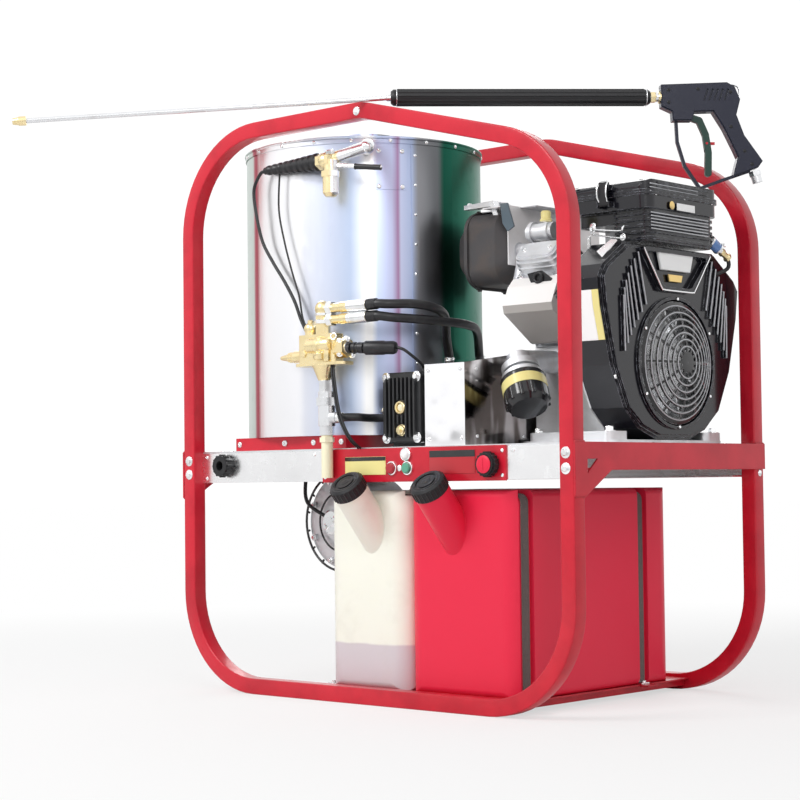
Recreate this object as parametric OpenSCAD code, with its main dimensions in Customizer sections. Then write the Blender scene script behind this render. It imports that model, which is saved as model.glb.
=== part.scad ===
// Hot-water pressure washer skid in a bent-tube cage.
// Units are millimetres. +X runs along the wide front, +Y to the rear and +Z up.
// The origin is at floor level, in the middle of the four skid bolt holes.

/* [Frame] */
// Width of the two hoops, outside
frame_w = 1030; // [1000:1:1100]
// Depth over the two hoops
frame_d = 618; // [610:1:680]
// Height of the hoops at their peak
frame_h = 1166; // [1160:1:1220]
// Side of the square tube
tube = 31.75; // [28:0.25:36]
// Wall of the square tube
tube_wall = 2; // [1.5:0.25:3]
// Outer radius of the bottom bends
base_r = 204; // [160:1:230]
// Outer radius of the top left bend
crown_r = 220; // [180:1:240]
// Outer radius of the top right bend
shoulder_r = 196; // [160:1:220]
// Outer radius of the bend at the peak
peak_r = 150; // [120:1:180]
// Place of the peak, right of the middle
peak_x = 10; // [0:1:20]
// Fall of the top tube to the right of the peak
top_slope = 15; // [13:0.5:16]
// Distance of the skid bolt holes from the middle
skid_hole_x = 250; // [200:1:280]
// Radius of the skid bolt holes
skid_hole_r = 5.5; // [4:0.5:7]

/* [Rails and plates] */
// Height of the front and rear rails' lower edge
rail_z = 429; // [420:1:435]
// Height of the front and rear rails
rail_h = 61; // [55:1:65]
// Depth of the front and rear rails
rail_d = 40; // [30:1:50]
// Thickness of the rail sheet
rail_t = 3; // [2:0.5:4]
// How far the rails lie behind the hoops' outer faces
rail_setback = 24; // [20:1:28]
// Thickness of the deck plate
deck_t = 4; // [3:0.5:6]
// Thickness of the side plates
side_t = 4; // [3:0.5:6]
// Height of the side plates
side_h = 50; // [44:1:54]
// Reach of the triangular gusset below the side plate
gusset = 46; // [36:1:60]
// Side of the triangular window in the gusset
gusset_window = 16; // [10:1:20]
// Left edge of the control panel
panel_x0 = -124; // [-130:1:-118]
// Width of the control panel
panel_w = 469; // [440:1:480]
// Thickness of the control panel
panel_t = 3; // [2:0.5:4]

/* [Boiler] */
// Radius of the boiler jacket
boiler_r = 249; // [242:1:250]
// Middle of the boiler across the width
boiler_x = -250; // [-256:1:-250]
// Middle of the boiler across the depth
boiler_y = -28; // [-28:1:-18]
// Drop from the frame's top to the boiler jacket's top edge
boiler_drop = 48; // [44:1:60]
// Thickness of the jacket sheet
jacket_t = 1.5; // [1:0.25:2.5]
// Width of the boiler base
boiler_base_w = 320; // [300:1:340]
// Depth of the boiler base
boiler_base_d = 456; // [430:1:480]
// Height of the boiler base
boiler_base_h = 27; // [24:1:30]
// Radius of the burner opening
burner_hole_r = 62; // [56:1:70]
// Radius of the flue collar, outside
flue_r = 76; // [70:1:90]
// Height of the flue collar
flue_h = 32; // [26:1:34]
// Radius of the coil's middle line
coil_r = 190; // [180:1:200]
// Radius of the coil pipe
coil_pipe_r = 10.5; // [9:0.5:12]
// Turns of the coil
coil_turns = 11; // [8:1:13]

/* [Pump] */
// Left face of the pump crankcase
pump_x = -3; // [-6:1:-1]
// Width of the pump crankcase
pump_w = 98; // [90:1:100]
// Height of the pump shaft above the deck
pump_shaft_h = 77; // [76:1:82]
// Place of the pump shaft across the depth
pump_shaft_y = -155; // [-158:1:-150]
// Radius of the pump shaft
pump_shaft_r = 12; // [10:0.5:14]
// Radius of the pump pulley
pump_pulley_r = 72; // [60:1:74]
// Cooling ribs on the pump cover
pump_ribs = 8; // [6:1:9]

/* [Belt and guard] */
// Radius of the engine pulley
engine_pulley_r = 38; // [32:1:40]
// Width of both pulleys
pulley_w = 25; // [22:1:28]
// Depth of the pulleys' groove
groove_depth = 11; // [8:0.5:12]
// Thickness of the belt
belt_t = 10; // [7:0.5:11]
// Left face of the belt guard
guard_x = 102; // [100:1:104]
// Width of the belt guard
guard_w = 101; // [90:1:104]
// Height of the belt guard's front edge
guard_front_h = 158; // [152:1:165]
// Rise of the belt guard's top to the rear
guard_rise = 7.8; // [6:0.2:10]
// Thickness of the guard sheet
guard_t = 2; // [1.5:0.25:2.5]

/* [Engine] */
// Height of the crankshaft above the deck
crank_h = 154; // [150:1:158]
// Place of the crankshaft across the depth
crank_y = 74; // [70:1:78]
// Radius of the crankshaft
crank_r = 12.5; // [11:0.5:14]
// Left face of the crankcase
block_x = 216; // [212:1:222]
// Length of the crankcase
block_l = 164; // [150:1:166]
// Angle of each cylinder from upright
vee = 45; // [40:1:46]
// Distance from the crankshaft to the foot of a cylinder
cylinder_foot = 105; // [100:1:110]
// Length of a cylinder barrel
barrel_l = 86; // [76:1:88]
// Length of a cylinder head
head_l = 48; // [40:1:50]
// Height of a rocker cover
rocker_h = 46; // [36:1:48]
// Width of the cylinder fins
fin_w = 116; // [104:1:118]
// Cooling fins on a cylinder
fins = 9; // [6:1:10]
// Back face of the cooling shroud
shroud_x = 386; // [384:1:390]
// Depth of the cooling shroud
shroud_d = 84; // [78:1:86]
// Wall of the cooling shroud
shroud_t = 4; // [3:0.5:5]
// Radius of the fan screen
screen_r = 118; // [105:1:122]
// Bulge of the fan screen
screen_bulge = 26; // [18:1:28]
// Rings of slots in the fan screen
screen_rings = 7; // [4:1:8]
// Spokes between the slots
screen_spokes = 12; // [8:1:16]
// Width of the air cleaner
cleaner_w = 190; // [170:1:196]
// Depth of the air cleaner
cleaner_d = 248; // [230:1:260]
// Height of the ribbed intake box under the air cleaner
intake_box_h = 62; // [54:1:66]
// Height of the air cleaner's base
cleaner_base_h = 30; // [26:1:34]
// Height of the air cleaner's cover
cleaner_cover_h = 24; // [20:1:28]
// Pitch of the ribs round the intake box
rib_pitch = 11.6; // [9:0.2:14]
// Radius of the oil filter
filter_r = 43; // [36:1:46]
// Length of the oil filter
filter_l = 66; // [60:1:74]

/* [Tanks] */
// Left side of the white tank
tank_x = -142; // [-150:1:-136]
// Width of the white tank
white_w = 214; // [200:1:220]
// Width of the red tank
red_w = 279; // [260:1:284]
// Distance of the tanks' front face behind the frame's front face
tank_setback = 47; // [43:1:53]
// Depth of the tanks
tank_d = 486; // [460:1:500]
// Height of the tanks
tank_h = 385; // [370:1:388]
// Wall of the tanks
tank_wall = 5; // [4:0.5:7]
// Radius of the tanks' upright edges
tank_r = 40; // [30:1:44]
// Radius of the tanks' top and bottom edges
tank_edge_r = 14; // [12:1:18]
// Lean of the filler necks
neck_lean = 40; // [37:1:42]
// Radius of the filler necks
neck_r = 34; // [31:0.5:36]
// Radius of the threaded mouth
mouth_r = 28; // [25:0.5:29]
// Bore of the filler necks
neck_bore_r = 23; // [18:0.5:23]
// Radius of the caps
cap_r = 36; // [35:0.5:38]
// Height of the caps
cap_h = 26; // [22:1:28]
// Width of the strap channels
channel_w = 30; // [24:1:34]
// Depth of the strap channels
channel_d = 10; // [6:1:11]
// Width of the strap webbing
strap_w = 22; // [14:1:23]
// Thickness of the strap webbing
strap_t = 3; // [2:0.5:4]

/* [Wand] */
// Direction of the wand, from the front towards the rear
wand_yaw = 46; // [42:1:50]
// Place where the lance crosses the front hoop
wand_x = 23.6; // [20:0.2:28]
// Radius of the lance pipe
lance_r = 5; // [4:0.5:6]
// Length of the thin end of the lance
lance_l = 700; // [600:5:760]
// Downward bend of the thin end
lance_bend = 3.6; // [2:0.1:4]
// Radius of the insulated sleeve
sleeve_r = 16; // [14:0.5:18]
// Length of the insulated sleeve
sleeve_l = 508; // [400:1:512]
// Distance from the lance down to the bow's lowest point
bow_drop = 182.4; // [176:0.2:188]
// Thickness of the gun housing
gun_t = 30; // [26:1:34]

/* [Fits] */
// Gap between pieces that seat on each other with a curved or moving face
seat_gap = 0.3; // [0.2:0.05:0.5]
// Radial clearance of shafts in their bores
run_gap = 0.05; // [0.02:0.01:0.1]

/* [Hidden] */
$fn = 48;

frame_red = "#c8102e";
stainless = "#cfd4d8";
cast_alloy = "#b4b6b8";
black = "#232427";
brass = "#c8a850";
rubber = "#1a1a1c";
tank_white = "#e9e7da";
tank_red = "#cf1f3a";

half_w = frame_w / 2;
half_d = frame_d / 2;
inner_x = half_w - tube;
rail_y = -half_d + rail_setback;
rail_top = rail_z + rail_h;
deck_z = rail_top + deck_t;
panel_y = rail_y - panel_t;
boiler_z = deck_z + boiler_base_h;
lid_t = 3;
boiler_top = frame_h - boiler_drop;
lid_z = boiler_top + lid_t;
pump_shaft_z = deck_z + pump_shaft_h;
crank_z = deck_z + crank_h;
pulley_x = guard_x + 23;
guard_y = -235;
guard_d = 365;
cleaner_top = crank_z + 341;
cleaner_z = cleaner_top - cleaner_cover_h - cleaner_base_h;
cleaner_x = shroud_x + shroud_d + 30 - cleaner_w;
cleaner_y = crank_y - cleaner_d / 2;
intake_x = cleaner_x + 27;
tray_z = 25;
tank_y = -half_d + tank_setback;
tank_top = tray_z + tank_h;
stack_x = -97;
hose_rise = 80;
hose_step = 23;
knob_drop = 12;
stack_y = -half_d + 7;
unloader_z = 690;

// ---------- shared shapes ----------

function unit(v) = v / norm(v);

// Takes one corner off an outline and leaves a tangent arc
module corner_cut(before, corner, after, r) {
    u = unit(before - corner);
    v = unit(after - corner);
    half = acos(u * v) / 2;
    reach = r / tan(half);
    centre = corner + unit(u + v) * r / sin(half);
    difference() {
        polygon([corner, corner + u * reach, centre, corner + v * reach]);
        translate(centre) circle(r = r);
    }
}

// A convex outline with each corner rounded by its own radius
module rounded(points, radii) {
    n = len(points);
    difference() {
        polygon(points);
        for (i = [0 : n - 1])
            if (radii[i] > 0)
                corner_cut(points[(i + n - 1) % n], points[i], points[(i + 1) % n], radii[i]);
    }
}

module rounded_box(x0, y0, x1, y1, r)
    rounded([[x0, y0], [x1, y0], [x1, y1], [x0, y1]], [r, r, r, r]);

// Extrudes an outline drawn in Y and Z along X
module along_x(x0, length) translate([x0, 0, 0]) rotate([90, 0, 90]) linear_extrude(length) children();

// Extrudes an outline drawn in X and Z along Y
module along_y(y0, length) translate([0, y0 + length, 0]) rotate([90, 0, 0]) linear_extrude(length) children();

module along_z(z0, length) translate([0, 0, z0]) linear_extrude(length) children();

module rod_x(x0, length, r) translate([x0, 0, 0]) rotate([0, 90, 0]) cylinder(h = length, r = r);

module rod_y(y0, length, r) translate([0, y0, 0]) rotate([-90, 0, 0]) cylinder(h = length, r = r);

// Turns +Z towards a direction and moves to a point
module aim(point, direction)
    translate(point)
        rotate([0, acos(direction[2] / norm(direction)), atan2(direction[1], direction[0])]) children();

module rod_between(a, b, r) aim(a, b - a) cylinder(h = norm(b - a), r = r);

// A bar of constant width along a bent line
module bar(a, b, w) {
    u = unit(b - a);
    side = [-u[1], u[0]] * w / 2;
    polygon([a - side, b - side, b + side, a + side]);
}

module stroke(points, w) {
    for (i = [0 : len(points) - 2]) bar(points[i], points[i + 1], w);
    for (p = points) translate(p) circle(d = w);
}

// Sweeps a round section along a smooth curve through the route's points
function curve_at(p, i, t) = let (
    a = p[max(i - 1, 0)], b = p[i], c = p[i + 1], d = p[min(i + 2, len(p) - 1)])
    0.5 * (2 * b + (c - a) * t + (2 * a - 5 * b + 4 * c - d) * t * t + (3 * b - a - 3 * c + d) * t * t * t);

function curve(p, steps) = concat(
    [for (i = [0 : len(p) - 2], k = [0 : steps - 1]) curve_at(p, i, k / steps)], [p[len(p) - 1]]);

function ring(centre, along, u, r, sides) = let (v = cross(along, u))
    [for (k = [0 : sides - 1]) centre + r * (cos(360 * k / sides) * u + sin(360 * k / sides) * v)];

// Carries one side direction along the route, so that the rings don't twist
function carried(along, i, side) = i == len(along) ? []
    : let (u = unit(side - along[i] * (side * along[i]))) concat([u], carried(along, i + 1, u));

module sweep(path, r, sides) {
    n = len(path);
    along = [for (i = [0 : n - 1]) unit(path[min(i + 1, n - 1)] - path[max(i - 1, 0)])];
    sides_u = carried(along, 0, abs(along[0][2]) > 0.9 ? [1, 0, 0] : [0, 0, 1]);
    points = [for (i = [0 : n - 1]) each ring(path[i], along[i], sides_u[i], r, sides)];
    walls = [for (i = [0 : n - 2], k = [0 : sides - 1])
        let (a = i * sides + k, b = i * sides + (k + 1) % sides)
        each [[a, a + sides, b], [b, a + sides, b + sides]]];
    start = [for (k = [1 : sides - 2]) [0, k, k + 1]];
    end = [for (k = [1 : sides - 2]) [(n - 1) * sides, (n - 1) * sides + k + 1, (n - 1) * sides + k]];
    polyhedron(points, concat(walls, start, end), convexity = 10);
}

// ---------- frame ----------

function hoop_points(inset) = let (
    run = half_w - inset - peak_x,
    shoulder = frame_h - run * tan(top_slope) - inset / cos(top_slope),
    peak = peak_x - inset * tan(top_slope / 2))
    [[-half_w + inset, inset], [half_w - inset, inset], [half_w - inset, shoulder],
     [peak, frame_h - inset], [-half_w + inset, frame_h - inset]];

module hoop_outline(inset)
    rounded(hoop_points(inset), [for (r = [base_r, base_r, shoulder_r, peak_r, crown_r]) r - inset]);

module hoop_ring(outside, inside) difference() {
    hoop_outline(outside);
    hoop_outline(inside);
}

module hoop(y0) color(frame_red) difference() {
    along_y(y0, tube) hoop_ring(0, tube);
    along_y(y0 + tube_wall, tube - 2 * tube_wall) hoop_ring(tube_wall, tube - tube_wall);
    for (side = [-1, 1])
        translate([side * skid_hole_x, y0 + tube / 2, -1]) cylinder(h = tube + 2, r = skid_hole_r);
}

module front_hoop() hoop(-half_d);

module rear_hoop() hoop(half_d - tube);

// Channel that stands between the hoops' legs, open to the inside
module rail_profile() difference() {
    translate([rail_y, rail_z]) square([rail_d, rail_h]);
    translate([rail_y + rail_t, rail_z + rail_t]) square([rail_d, rail_h - 2 * rail_t]);
}

dial_x = 309;
dial_z = 457;
dial_r = 22;
dial_shaft_r = 4;
stop_x = 63;
start_x = 104;
button_z = 453;
button_r = 9.9;

module front_rail() color(stainless) difference() {
    along_x(-inner_x, 2 * inner_x) rail_profile();
    translate([dial_x, 0, dial_z]) rod_y(rail_y - 1, rail_t + 2, dial_shaft_r + 3);
    for (x = [stop_x, start_x]) translate([x, 0, button_z]) rod_y(rail_y - 1, rail_t + 2, button_r + 2);
}

module rear_rail() color(stainless) mirror([0, 1, 0]) along_x(-inner_x, 2 * inner_x) rail_profile();

// Plate on the outside of the hoops' legs, with a gusset and its window at the front leg
module side_rail_plate() {
    top = deck_z;
    low = deck_z - side_h;
    front = -half_d;
    gusset_y = front + tube;
    difference() {
        polygon([[front, top], [front, low - gusset], [gusset_y, low - gusset],
            [gusset_y + gusset + 30, low], [half_d, low], [half_d, top]]);
        translate([gusset_y + 4, low - 6])
            polygon([[0, gusset_window * 1.6], [0, 0], [gusset_window * 1.9, gusset_window * 1.6]]);
    }
}

module side_rail() color(frame_red) {
    along_x(half_w, side_t) side_rail_plate();
    for (z = [deck_z - deck_t, deck_z - side_h])
        translate([inner_x + seat_gap, -half_d + tube, z])
            cube([tube - seat_gap, frame_d - 2 * tube, deck_t]);
}

module right_side_rail() side_rail();

module left_side_rail() mirror([1, 0, 0]) side_rail();

module tank_tray() color(frame_red) {
    depth = frame_d - 2 * tube;
    translate([tank_x, -half_d + tube, tray_z - 3]) cube([white_w + red_w, depth, 3]);
    for (x = [tank_x + 12, tank_x1 - 16]) translate([x, -half_d + tube, tray_z - 16]) cube([4, depth, 14]);
    for (x = [tank_x - 20, tank_x1 - 1], y = channel_ys)
        translate([x, y - 2, tray_z - 3]) cube([21, channel_w + 4, 3]);
}

module deck_plate() color(cast_alloy) difference() {
    translate([-inner_x, rail_y + 2, rail_top]) cube([2 * inner_x, -2 * rail_y - 4, deck_t]);
    translate([boiler_x, boiler_y, rail_top - 1]) cylinder(h = deck_t + 2, r = burner_hole_r + 20);
}

module control_panel() color(frame_red) difference() {
    union() {
        translate([panel_x0, panel_y, rail_z - 2]) cube([panel_w, panel_t, rail_h + 4]);
        for (x = [stop_x, start_x]) translate([x, 0, button_z]) rod_y(panel_y - 3, 3, button_r + 4);
    }
    translate([dial_x, 0, dial_z]) rod_y(panel_y - 1, panel_t + 2, dial_shaft_r + run_gap);
    for (x = [stop_x, start_x])
        translate([x, 0, button_z]) rod_y(panel_y - 4, panel_t + 5, button_r + run_gap);
}

module push_button(x) translate([x, 0, button_z]) {
    rod_y(panel_y - 8, panel_t + 9, button_r);
    translate([0, panel_y - 8, 0]) rotate([90, 0, 0]) cylinder(h = 1.5, r1 = button_r, r2 = button_r - 2);
}

module stop_button() color("#b5202c") push_button(stop_x);

module start_button() color("#3f8f6b") push_button(start_x);

module burner_knob() color(black) translate([dial_x, 0, dial_z]) difference() {
    union() {
        rod_y(panel_y - 20, 20 - seat_gap, dial_r - 2);
        rod_y(panel_y - 16, 12, dial_r);
        rod_y(panel_y - 1, panel_t + 8, dial_shaft_r);
        for (a = [0 : 20 : 340]) rotate([0, a, 0]) translate([dial_r, 0, 0]) rod_y(panel_y - 16, 12, 2);
    }
    rod_y(panel_y - 21, 3, dial_r - 5);
}

module hose_coupler() color(black) translate([-409, 0, 464]) difference() {
    union() {
        rod_y(rail_y - 20, 20, 21);
        for (a = [0 : 30 : 330]) rotate([0, a, 0]) translate([21, 0, 0]) rod_y(rail_y - 18, 14, 3);
    }
    rod_y(rail_y - 21, 19, 10);
}

// ---------- boiler ----------

module boiler_base() color(frame_red) difference() {
    d = boiler_base_d;
    translate([boiler_x - boiler_base_w / 2, boiler_y - d / 2, deck_z])
        cube([boiler_base_w, d, boiler_base_h]);
    translate([boiler_x - boiler_base_w / 2 + 4, boiler_y - d / 2 + 4, deck_z - 1])
        cube([boiler_base_w - 8, d - 8, boiler_base_h - 4 + 1]);
    translate([boiler_x, boiler_y, deck_z]) cylinder(h = boiler_base_h + 1, r = burner_hole_r);
}

outlet_angle = -45;
outlet_z = boiler_top - 25;
inlet_angle = 12;
inlet_z = 575;
stub_end = boiler_r + 9;
function jacket_point(angle, r, z) = [boiler_x + r * cos(angle), boiler_y + r * sin(angle), z];

// A curved strip on the outside of the jacket
module jacket_strip(angle, sweep_angle, z0, z1, t) translate([boiler_x, boiler_y, z0])
    rotate([0, 0, angle]) rotate_extrude(angle = sweep_angle, $fn = 96)
        translate([boiler_r - jacket_t / 2, 0]) square([t + jacket_t / 2, z1 - z0]);

module boiler_jacket() color(stainless) difference() {
    union() {
        translate([boiler_x, boiler_y, boiler_z]) difference() {
            cylinder(h = boiler_top - boiler_z, r = boiler_r, $fn = 96);
            translate([0, 0, 3]) cylinder(h = boiler_top, r = boiler_r - jacket_t, $fn = 96);
        }
        jacket_strip(-24, 4, boiler_z, boiler_top - 12, 1.2);
        jacket_strip(-41.5, 15, boiler_top - 104, boiler_top - 20, 1.5);
    }
    translate([boiler_x, boiler_y, boiler_z - 1]) cylinder(h = 5, r = burner_hole_r);
    rod_between(jacket_point(outlet_angle, coil_r, outlet_z),
        jacket_point(outlet_angle, stub_end, outlet_z), coil_pipe_r + seat_gap);
    rod_between(jacket_point(inlet_angle, coil_r, inlet_z),
        jacket_point(inlet_angle, stub_end, inlet_z), coil_pipe_r + seat_gap);
}

module boiler_lid() color(stainless) translate([boiler_x, boiler_y, 0]) difference() {
    union() {
        translate([0, 0, boiler_top - 10]) cylinder(h = 10 + lid_t, r = boiler_r + seat_gap + 2, $fn = 96);
        translate([0, 0, lid_z]) cylinder(h = 5, r = boiler_r - 16, $fn = 96);
        translate([0, 0, lid_z]) cylinder(h = 5 + flue_h, r = flue_r);
        translate([0, 0, boiler_top + 1]) rotate_extrude($fn = 96)
            translate([boiler_r + seat_gap + 1, 0]) circle(r = 3, $fn = 24);
    }
    translate([0, 0, boiler_top - 11]) cylinder(h = 11, r = boiler_r + seat_gap, $fn = 96);
    translate([0, 0, boiler_top - 1]) cylinder(h = flue_h + 20, r = flue_r - 3);
    translate([0, 0, lid_z - 1]) cylinder(h = 3, r = boiler_r - 20, $fn = 96);
}

coil_steps = 15;
coil_sweep = coil_turns * 360 - (inlet_angle - outlet_angle);

module heating_coil() color(cast_alloy) {
    count = floor(coil_turns * coil_steps);
    path = [for (i = [0 : count])
        let (t = i / count, a = inlet_angle + coil_sweep * t)
        jacket_point(a, coil_r, inlet_z + (outlet_z - inlet_z) * t)];
    sweep(path, coil_pipe_r, 8);
    for (end = [[outlet_angle, outlet_z], [inlet_angle, inlet_z]])
        rod_between(jacket_point(end[0], coil_r, end[1]),
            jacket_point(end[0], stub_end, end[1]), coil_pipe_r);
}

burner_z = 345;
blower_r = 92;

module burner() color("#dfe1e3") {
    translate([boiler_x, 0, burner_z]) {
        rod_y(boiler_y - 60, 100, blower_r);
        rod_y(boiler_y - 72, 12, blower_r + 6);
        rod_y(boiler_y + 40, 70, 58);
        rod_y(boiler_y - 100, 28, 34);
        for (a = [0 : 45 : 315])
            rotate([0, a + 22.5, 0]) translate([blower_r - 4, 0, 0]) rod_y(boiler_y - 80, 9, 7);
    }
    translate([boiler_x, boiler_y, burner_z]) cylinder(h = boiler_z + 40 - burner_z, r = burner_hole_r - 12);
    translate([boiler_x, boiler_y, rail_top - 6]) cylinder(h = 6, r = burner_hole_r + 45);
}

// ---------- water plumbing ----------

tee_point = [-102, -half_d + 17, outlet_z - 28];
elbow_point = jacket_point(outlet_angle, boiler_r + 46, outlet_z);

module coil_outlet() color(brass) {
    rod_between(jacket_point(outlet_angle, stub_end, outlet_z), elbow_point, 12);
    translate(elbow_point) sphere(r = 15);
    rod_between(elbow_point, tee_point, 12);
    translate(tee_point) sphere(r = 17);
    translate(tee_point) rotate([0, 90, 0]) cylinder(h = 34, r = 17, center = true, $fn = 6);
    translate(tee_point + [12, 0, 0]) {
        translate([0, 0, -28]) cylinder(h = 28, r = 14);
        along_z(-34, 12) circle(r = 19, $fn = 6);
        translate([0, 0, -66]) cylinder(h = 36, r = 16);
        translate([0, 0, -73]) cylinder(h = 7, r1 = 10, r2 = 16);
    }
    rod_between(tee_point + [14, 4, -10], tee_point + [112, 40, -22], 5);
}

boot_root = tee_point - [17, 0, 0];
boot_l = 158;

module wiring_harness() color(rubber) {
    translate(boot_root) rotate([0, -90, 0]) {
        cylinder(h = boot_l, r1 = 15, r2 = 8);
        for (i = [0 : 8]) translate([0, 0, 4 + i * 17]) cylinder(h = 9, r = 18 - i);
    }
    sweep(curve(thick_lead, 4), 3.5, 8);
    sweep(curve(thin_lead, 4), 2, 8);
    sweep(curve(pump_lead, 4), 3, 8);
    for (x = [0, 9]) sweep([for (p = curve(switch_lead, 4)) p + [x, 0, 0]], 3, 8);
    rod_between([stack_x + 62.5, stack_y + 10, unloader_z], connector_point, 11);
    rod_between(connector_point, connector_point + [64, 22, -2], 14);
}

// A point of a lead: across the width, and a share of the way up to the tee
function lead_point(x, share) = [x, -half_d + 18, lead_foot_z + (tee_point[2] - lead_foot_z) * share];
lead_foot_z = unloader_z + 29.7;
thick_lead = [for (p = [[-270, 1], [-292, 0.99], [-312, 0.9], [-306, 0.755], [-288, 0.585], [-258, 0.455],
    [-224, 0.33], [-196, 0.21], [-178, 0.1], [stack_x - 60, 0]]) lead_point(p[0], p[1])];
thin_lead = [for (p = [[-236, 1], [-239, 0.76], [-224, 0.57], [-202, 0.38], [-183, 0.24], [-172, 0.1],
    [stack_x - 53, 0]]) lead_point(p[0], p[1])];
connector_point = [stack_x + 91, stack_y + 16, unloader_z - 2];
pump_lead = [connector_point + [64, 22, -2], [72, -259, 681], [80, -244, 669], [82, -222, 656], [80, -212, 648],
    [80, -212, 641]];
switch_lead = [[stack_x + 26, stack_y - 12, unloader_z - 33.8], [stack_x + 30, stack_y - 14, unloader_z - 60],
    [stack_x + 46, stack_y - 16, 560], [stack_x + 68, stack_y - 12, 515],
    [stack_x + 70, panel_y + panel_t / 2, rail_top + 3]];

module unloader_valve() color(brass) translate([stack_x, stack_y, unloader_z]) {
    along_z(-28, 57) rounded_box(-64, -17, 36, 17, 9);
    along_z(-33, 6) rounded_box(-72, -21, 62, 21, 14);
    translate([-6, 0, -62]) cylinder(h = 30, r1 = 12, r2 = 24);
    translate([-43, 0, 28]) cylinder(h = 14, r = 11);
    translate([-43, 0, 42]) sphere(r = 13);
    translate([34, 0, 0]) rotate([0, 90, 0]) cylinder(h = 26, r = 20, $fn = 6);
    along_z(28, hose_rise - 28) translate([-8, 0]) circle(r = 15, $fn = 6);
    translate([-8, 0, hose_rise]) sphere(r = 16);
    for (z = [hose_rise, hose_rise - hose_step]) translate([0, 0, z]) {
        rod_x(-8, 52, 9);
        rod_x(44, 70, 10.5);
    }
}

module unloader_knob() color(brass) translate([stack_x, stack_y, unloader_z - knob_drop]) {
    rod_x(-86, 22 - seat_gap, 12);
    rod_x(-104, 20, 9);
    translate([-104, 0, 0]) rotate([0, -90, 0]) cylinder(h = 22, r1 = 8, r2 = 4);
    for (a = [0 : 30 : 330]) rotate([a, 0, 0]) translate([-102, 9, 0]) rod_x(0, 17, 1.5);
}

strainer_z = 520;

module water_strainer() color(stainless) translate([stack_x, stack_y, strainer_z]) {
    top = unloader_z - 62 - strainer_z;
    cylinder(h = 18, r = 15, $fn = 6);
    translate([0, 0, 18]) cylinder(h = top - 40, r = 17);
    along_z(58, 16) circle(r = 21, $fn = 6);
    along_z(top - 22, 22) circle(r = 15, $fn = 6);
    translate([0, 0, 34]) rod_x(0, 30, 11);
}

module outlet_tube() color("#e6dcae") translate([stack_x, stack_y, 0]) {
    z0 = rail_z + 7;
    difference() {
        translate([0, 0, z0]) cylinder(h = strainer_z - z0, r = 11.5);
        translate([0, 0, z0 - 1]) cylinder(h = 60, r = 7);
    }
    along_z(strainer_z - 14, 10) circle(r = 15, $fn = 6);
}

hose_end = [stack_x + 114.3, stack_y, unloader_z + hose_rise];
ferrule_l = 24;
discharge = [hose_end + [ferrule_l, 0, 0], hose_end + [46, 16, -1], hose_end + [66, 56, 0], [90, -196, 766],
    [72, -140, 754], [40, -98, 712], [24, -72, 676]];
inlet_point = jacket_point(inlet_angle, boiler_r + 22, inlet_z);
coil_feed = [hose_end + [ferrule_l, 0, -hose_step], hose_end + [48, 20, -hose_step - 4],
    hose_end + [68, 70, -hose_step - 6], [95, -150, 739], [92, -90, 736], [70, -40, 728], [30, 14, 690], inlet_point + [4, 0, 60], inlet_point + [0, 0, 8]];
bypass = [[stack_x + 40, stack_y, strainer_z + 34], [-42, -298, 554], [-30, -282, 554],
    [-30, -258, 553], [-28, -238, 553], [-18, -222, 553], [-6, -218, 553]];

module pressure_hoses() color(rubber) {
    sweep(curve(discharge, 3), 9, 8);
    sweep(curve(coil_feed, 3), 9, 8);
    sweep(curve(bypass, 3), 8, 8);
    for (z = [0, hose_step]) translate(hose_end - [0, 0, z]) rod_x(0, ferrule_l, 11);
    translate([24, -72, 650]) cylinder(h = 26, r = 11);
    translate(inlet_point - [0, 0, 14]) cylinder(h = 30, r = 12);
    rod_between(jacket_point(inlet_angle, stub_end, inlet_z), inlet_point, 11);
    translate([-12, -218, 553]) rod_x(0, pump_x + 12, 11);
    translate([stack_x + 30, stack_y, strainer_z + 34]) rod_x(0, 14, 10);
}

// ---------- pump and belt drive ----------

pump_front = -232;
pump_back = -96;
pump_x1 = pump_x + pump_w;

module pump_crankcase() color(black) difference() {
    union() {
        along_y(pump_front, pump_back - pump_front)
            rounded_box(pump_x, deck_z + 8, pump_x1, deck_z + 146, 10);
        along_y(pump_front + 20, 100) polygon([[pump_x - 4, deck_z], [pump_x1 + 4, deck_z],
            [pump_x1 - 6, deck_z + 14], [pump_x + 6, deck_z + 14]]);
        translate([pump_x1, pump_shaft_y, pump_shaft_z]) rod_x(0, 5, 30);
    }
    translate([0, pump_shaft_y, pump_shaft_z]) rod_x(pump_x1 - 40, 60, pump_shaft_r + run_gap);
}

module pump_cover() color(black) {
    z0 = deck_z + 11;
    h = 132;
    difference() {
        along_y(pump_front - 8, 8) rounded_box(pump_x, z0, pump_x1, z0 + h, 10);
        translate([pump_x + pump_w / 2, 0, z0 + h * 0.5]) rod_y(pump_front - 9, 5, 9);
    }
    pitch = (pump_w - 24) / (pump_ribs - 1);
    for (i = [0 : pump_ribs - 1])
        difference() {
            translate([pump_x + 12 + i * pitch - 2, pump_front - 15, z0 + 8]) cube([4, 7, h - 16]);
            translate([pump_x + pump_w / 2, 0, z0 + h * 0.5]) rod_y(pump_front - 16, 9, 16);
            translate([pump_x + pump_w / 2, 0, z0 + 22]) rod_y(pump_front - 16, 9, 14);
        }
}

head_x = 4;
head_w = 86;

module pump_head() color(brass) {
    z0 = deck_z + 26;
    along_y(pump_back, 62) rounded_box(head_x, z0, head_x + head_w, z0 + 92, 8);
    for (i = [0 : 2]) {
        x = head_x + 15 + i * 28;
        translate([x, 0, z0 + 66]) rod_y(pump_back + 62, 10, 12);
        translate([x, 0, z0 + 26]) rod_y(pump_back + 62, 10, 12);
    }
    translate([24, -72, z0 + 92]) cylinder(h = 650 - z0 - 92, r = 11, $fn = 24);
    translate([62, -72, z0 + 92]) cylinder(h = 14, r = 13);
}

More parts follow.
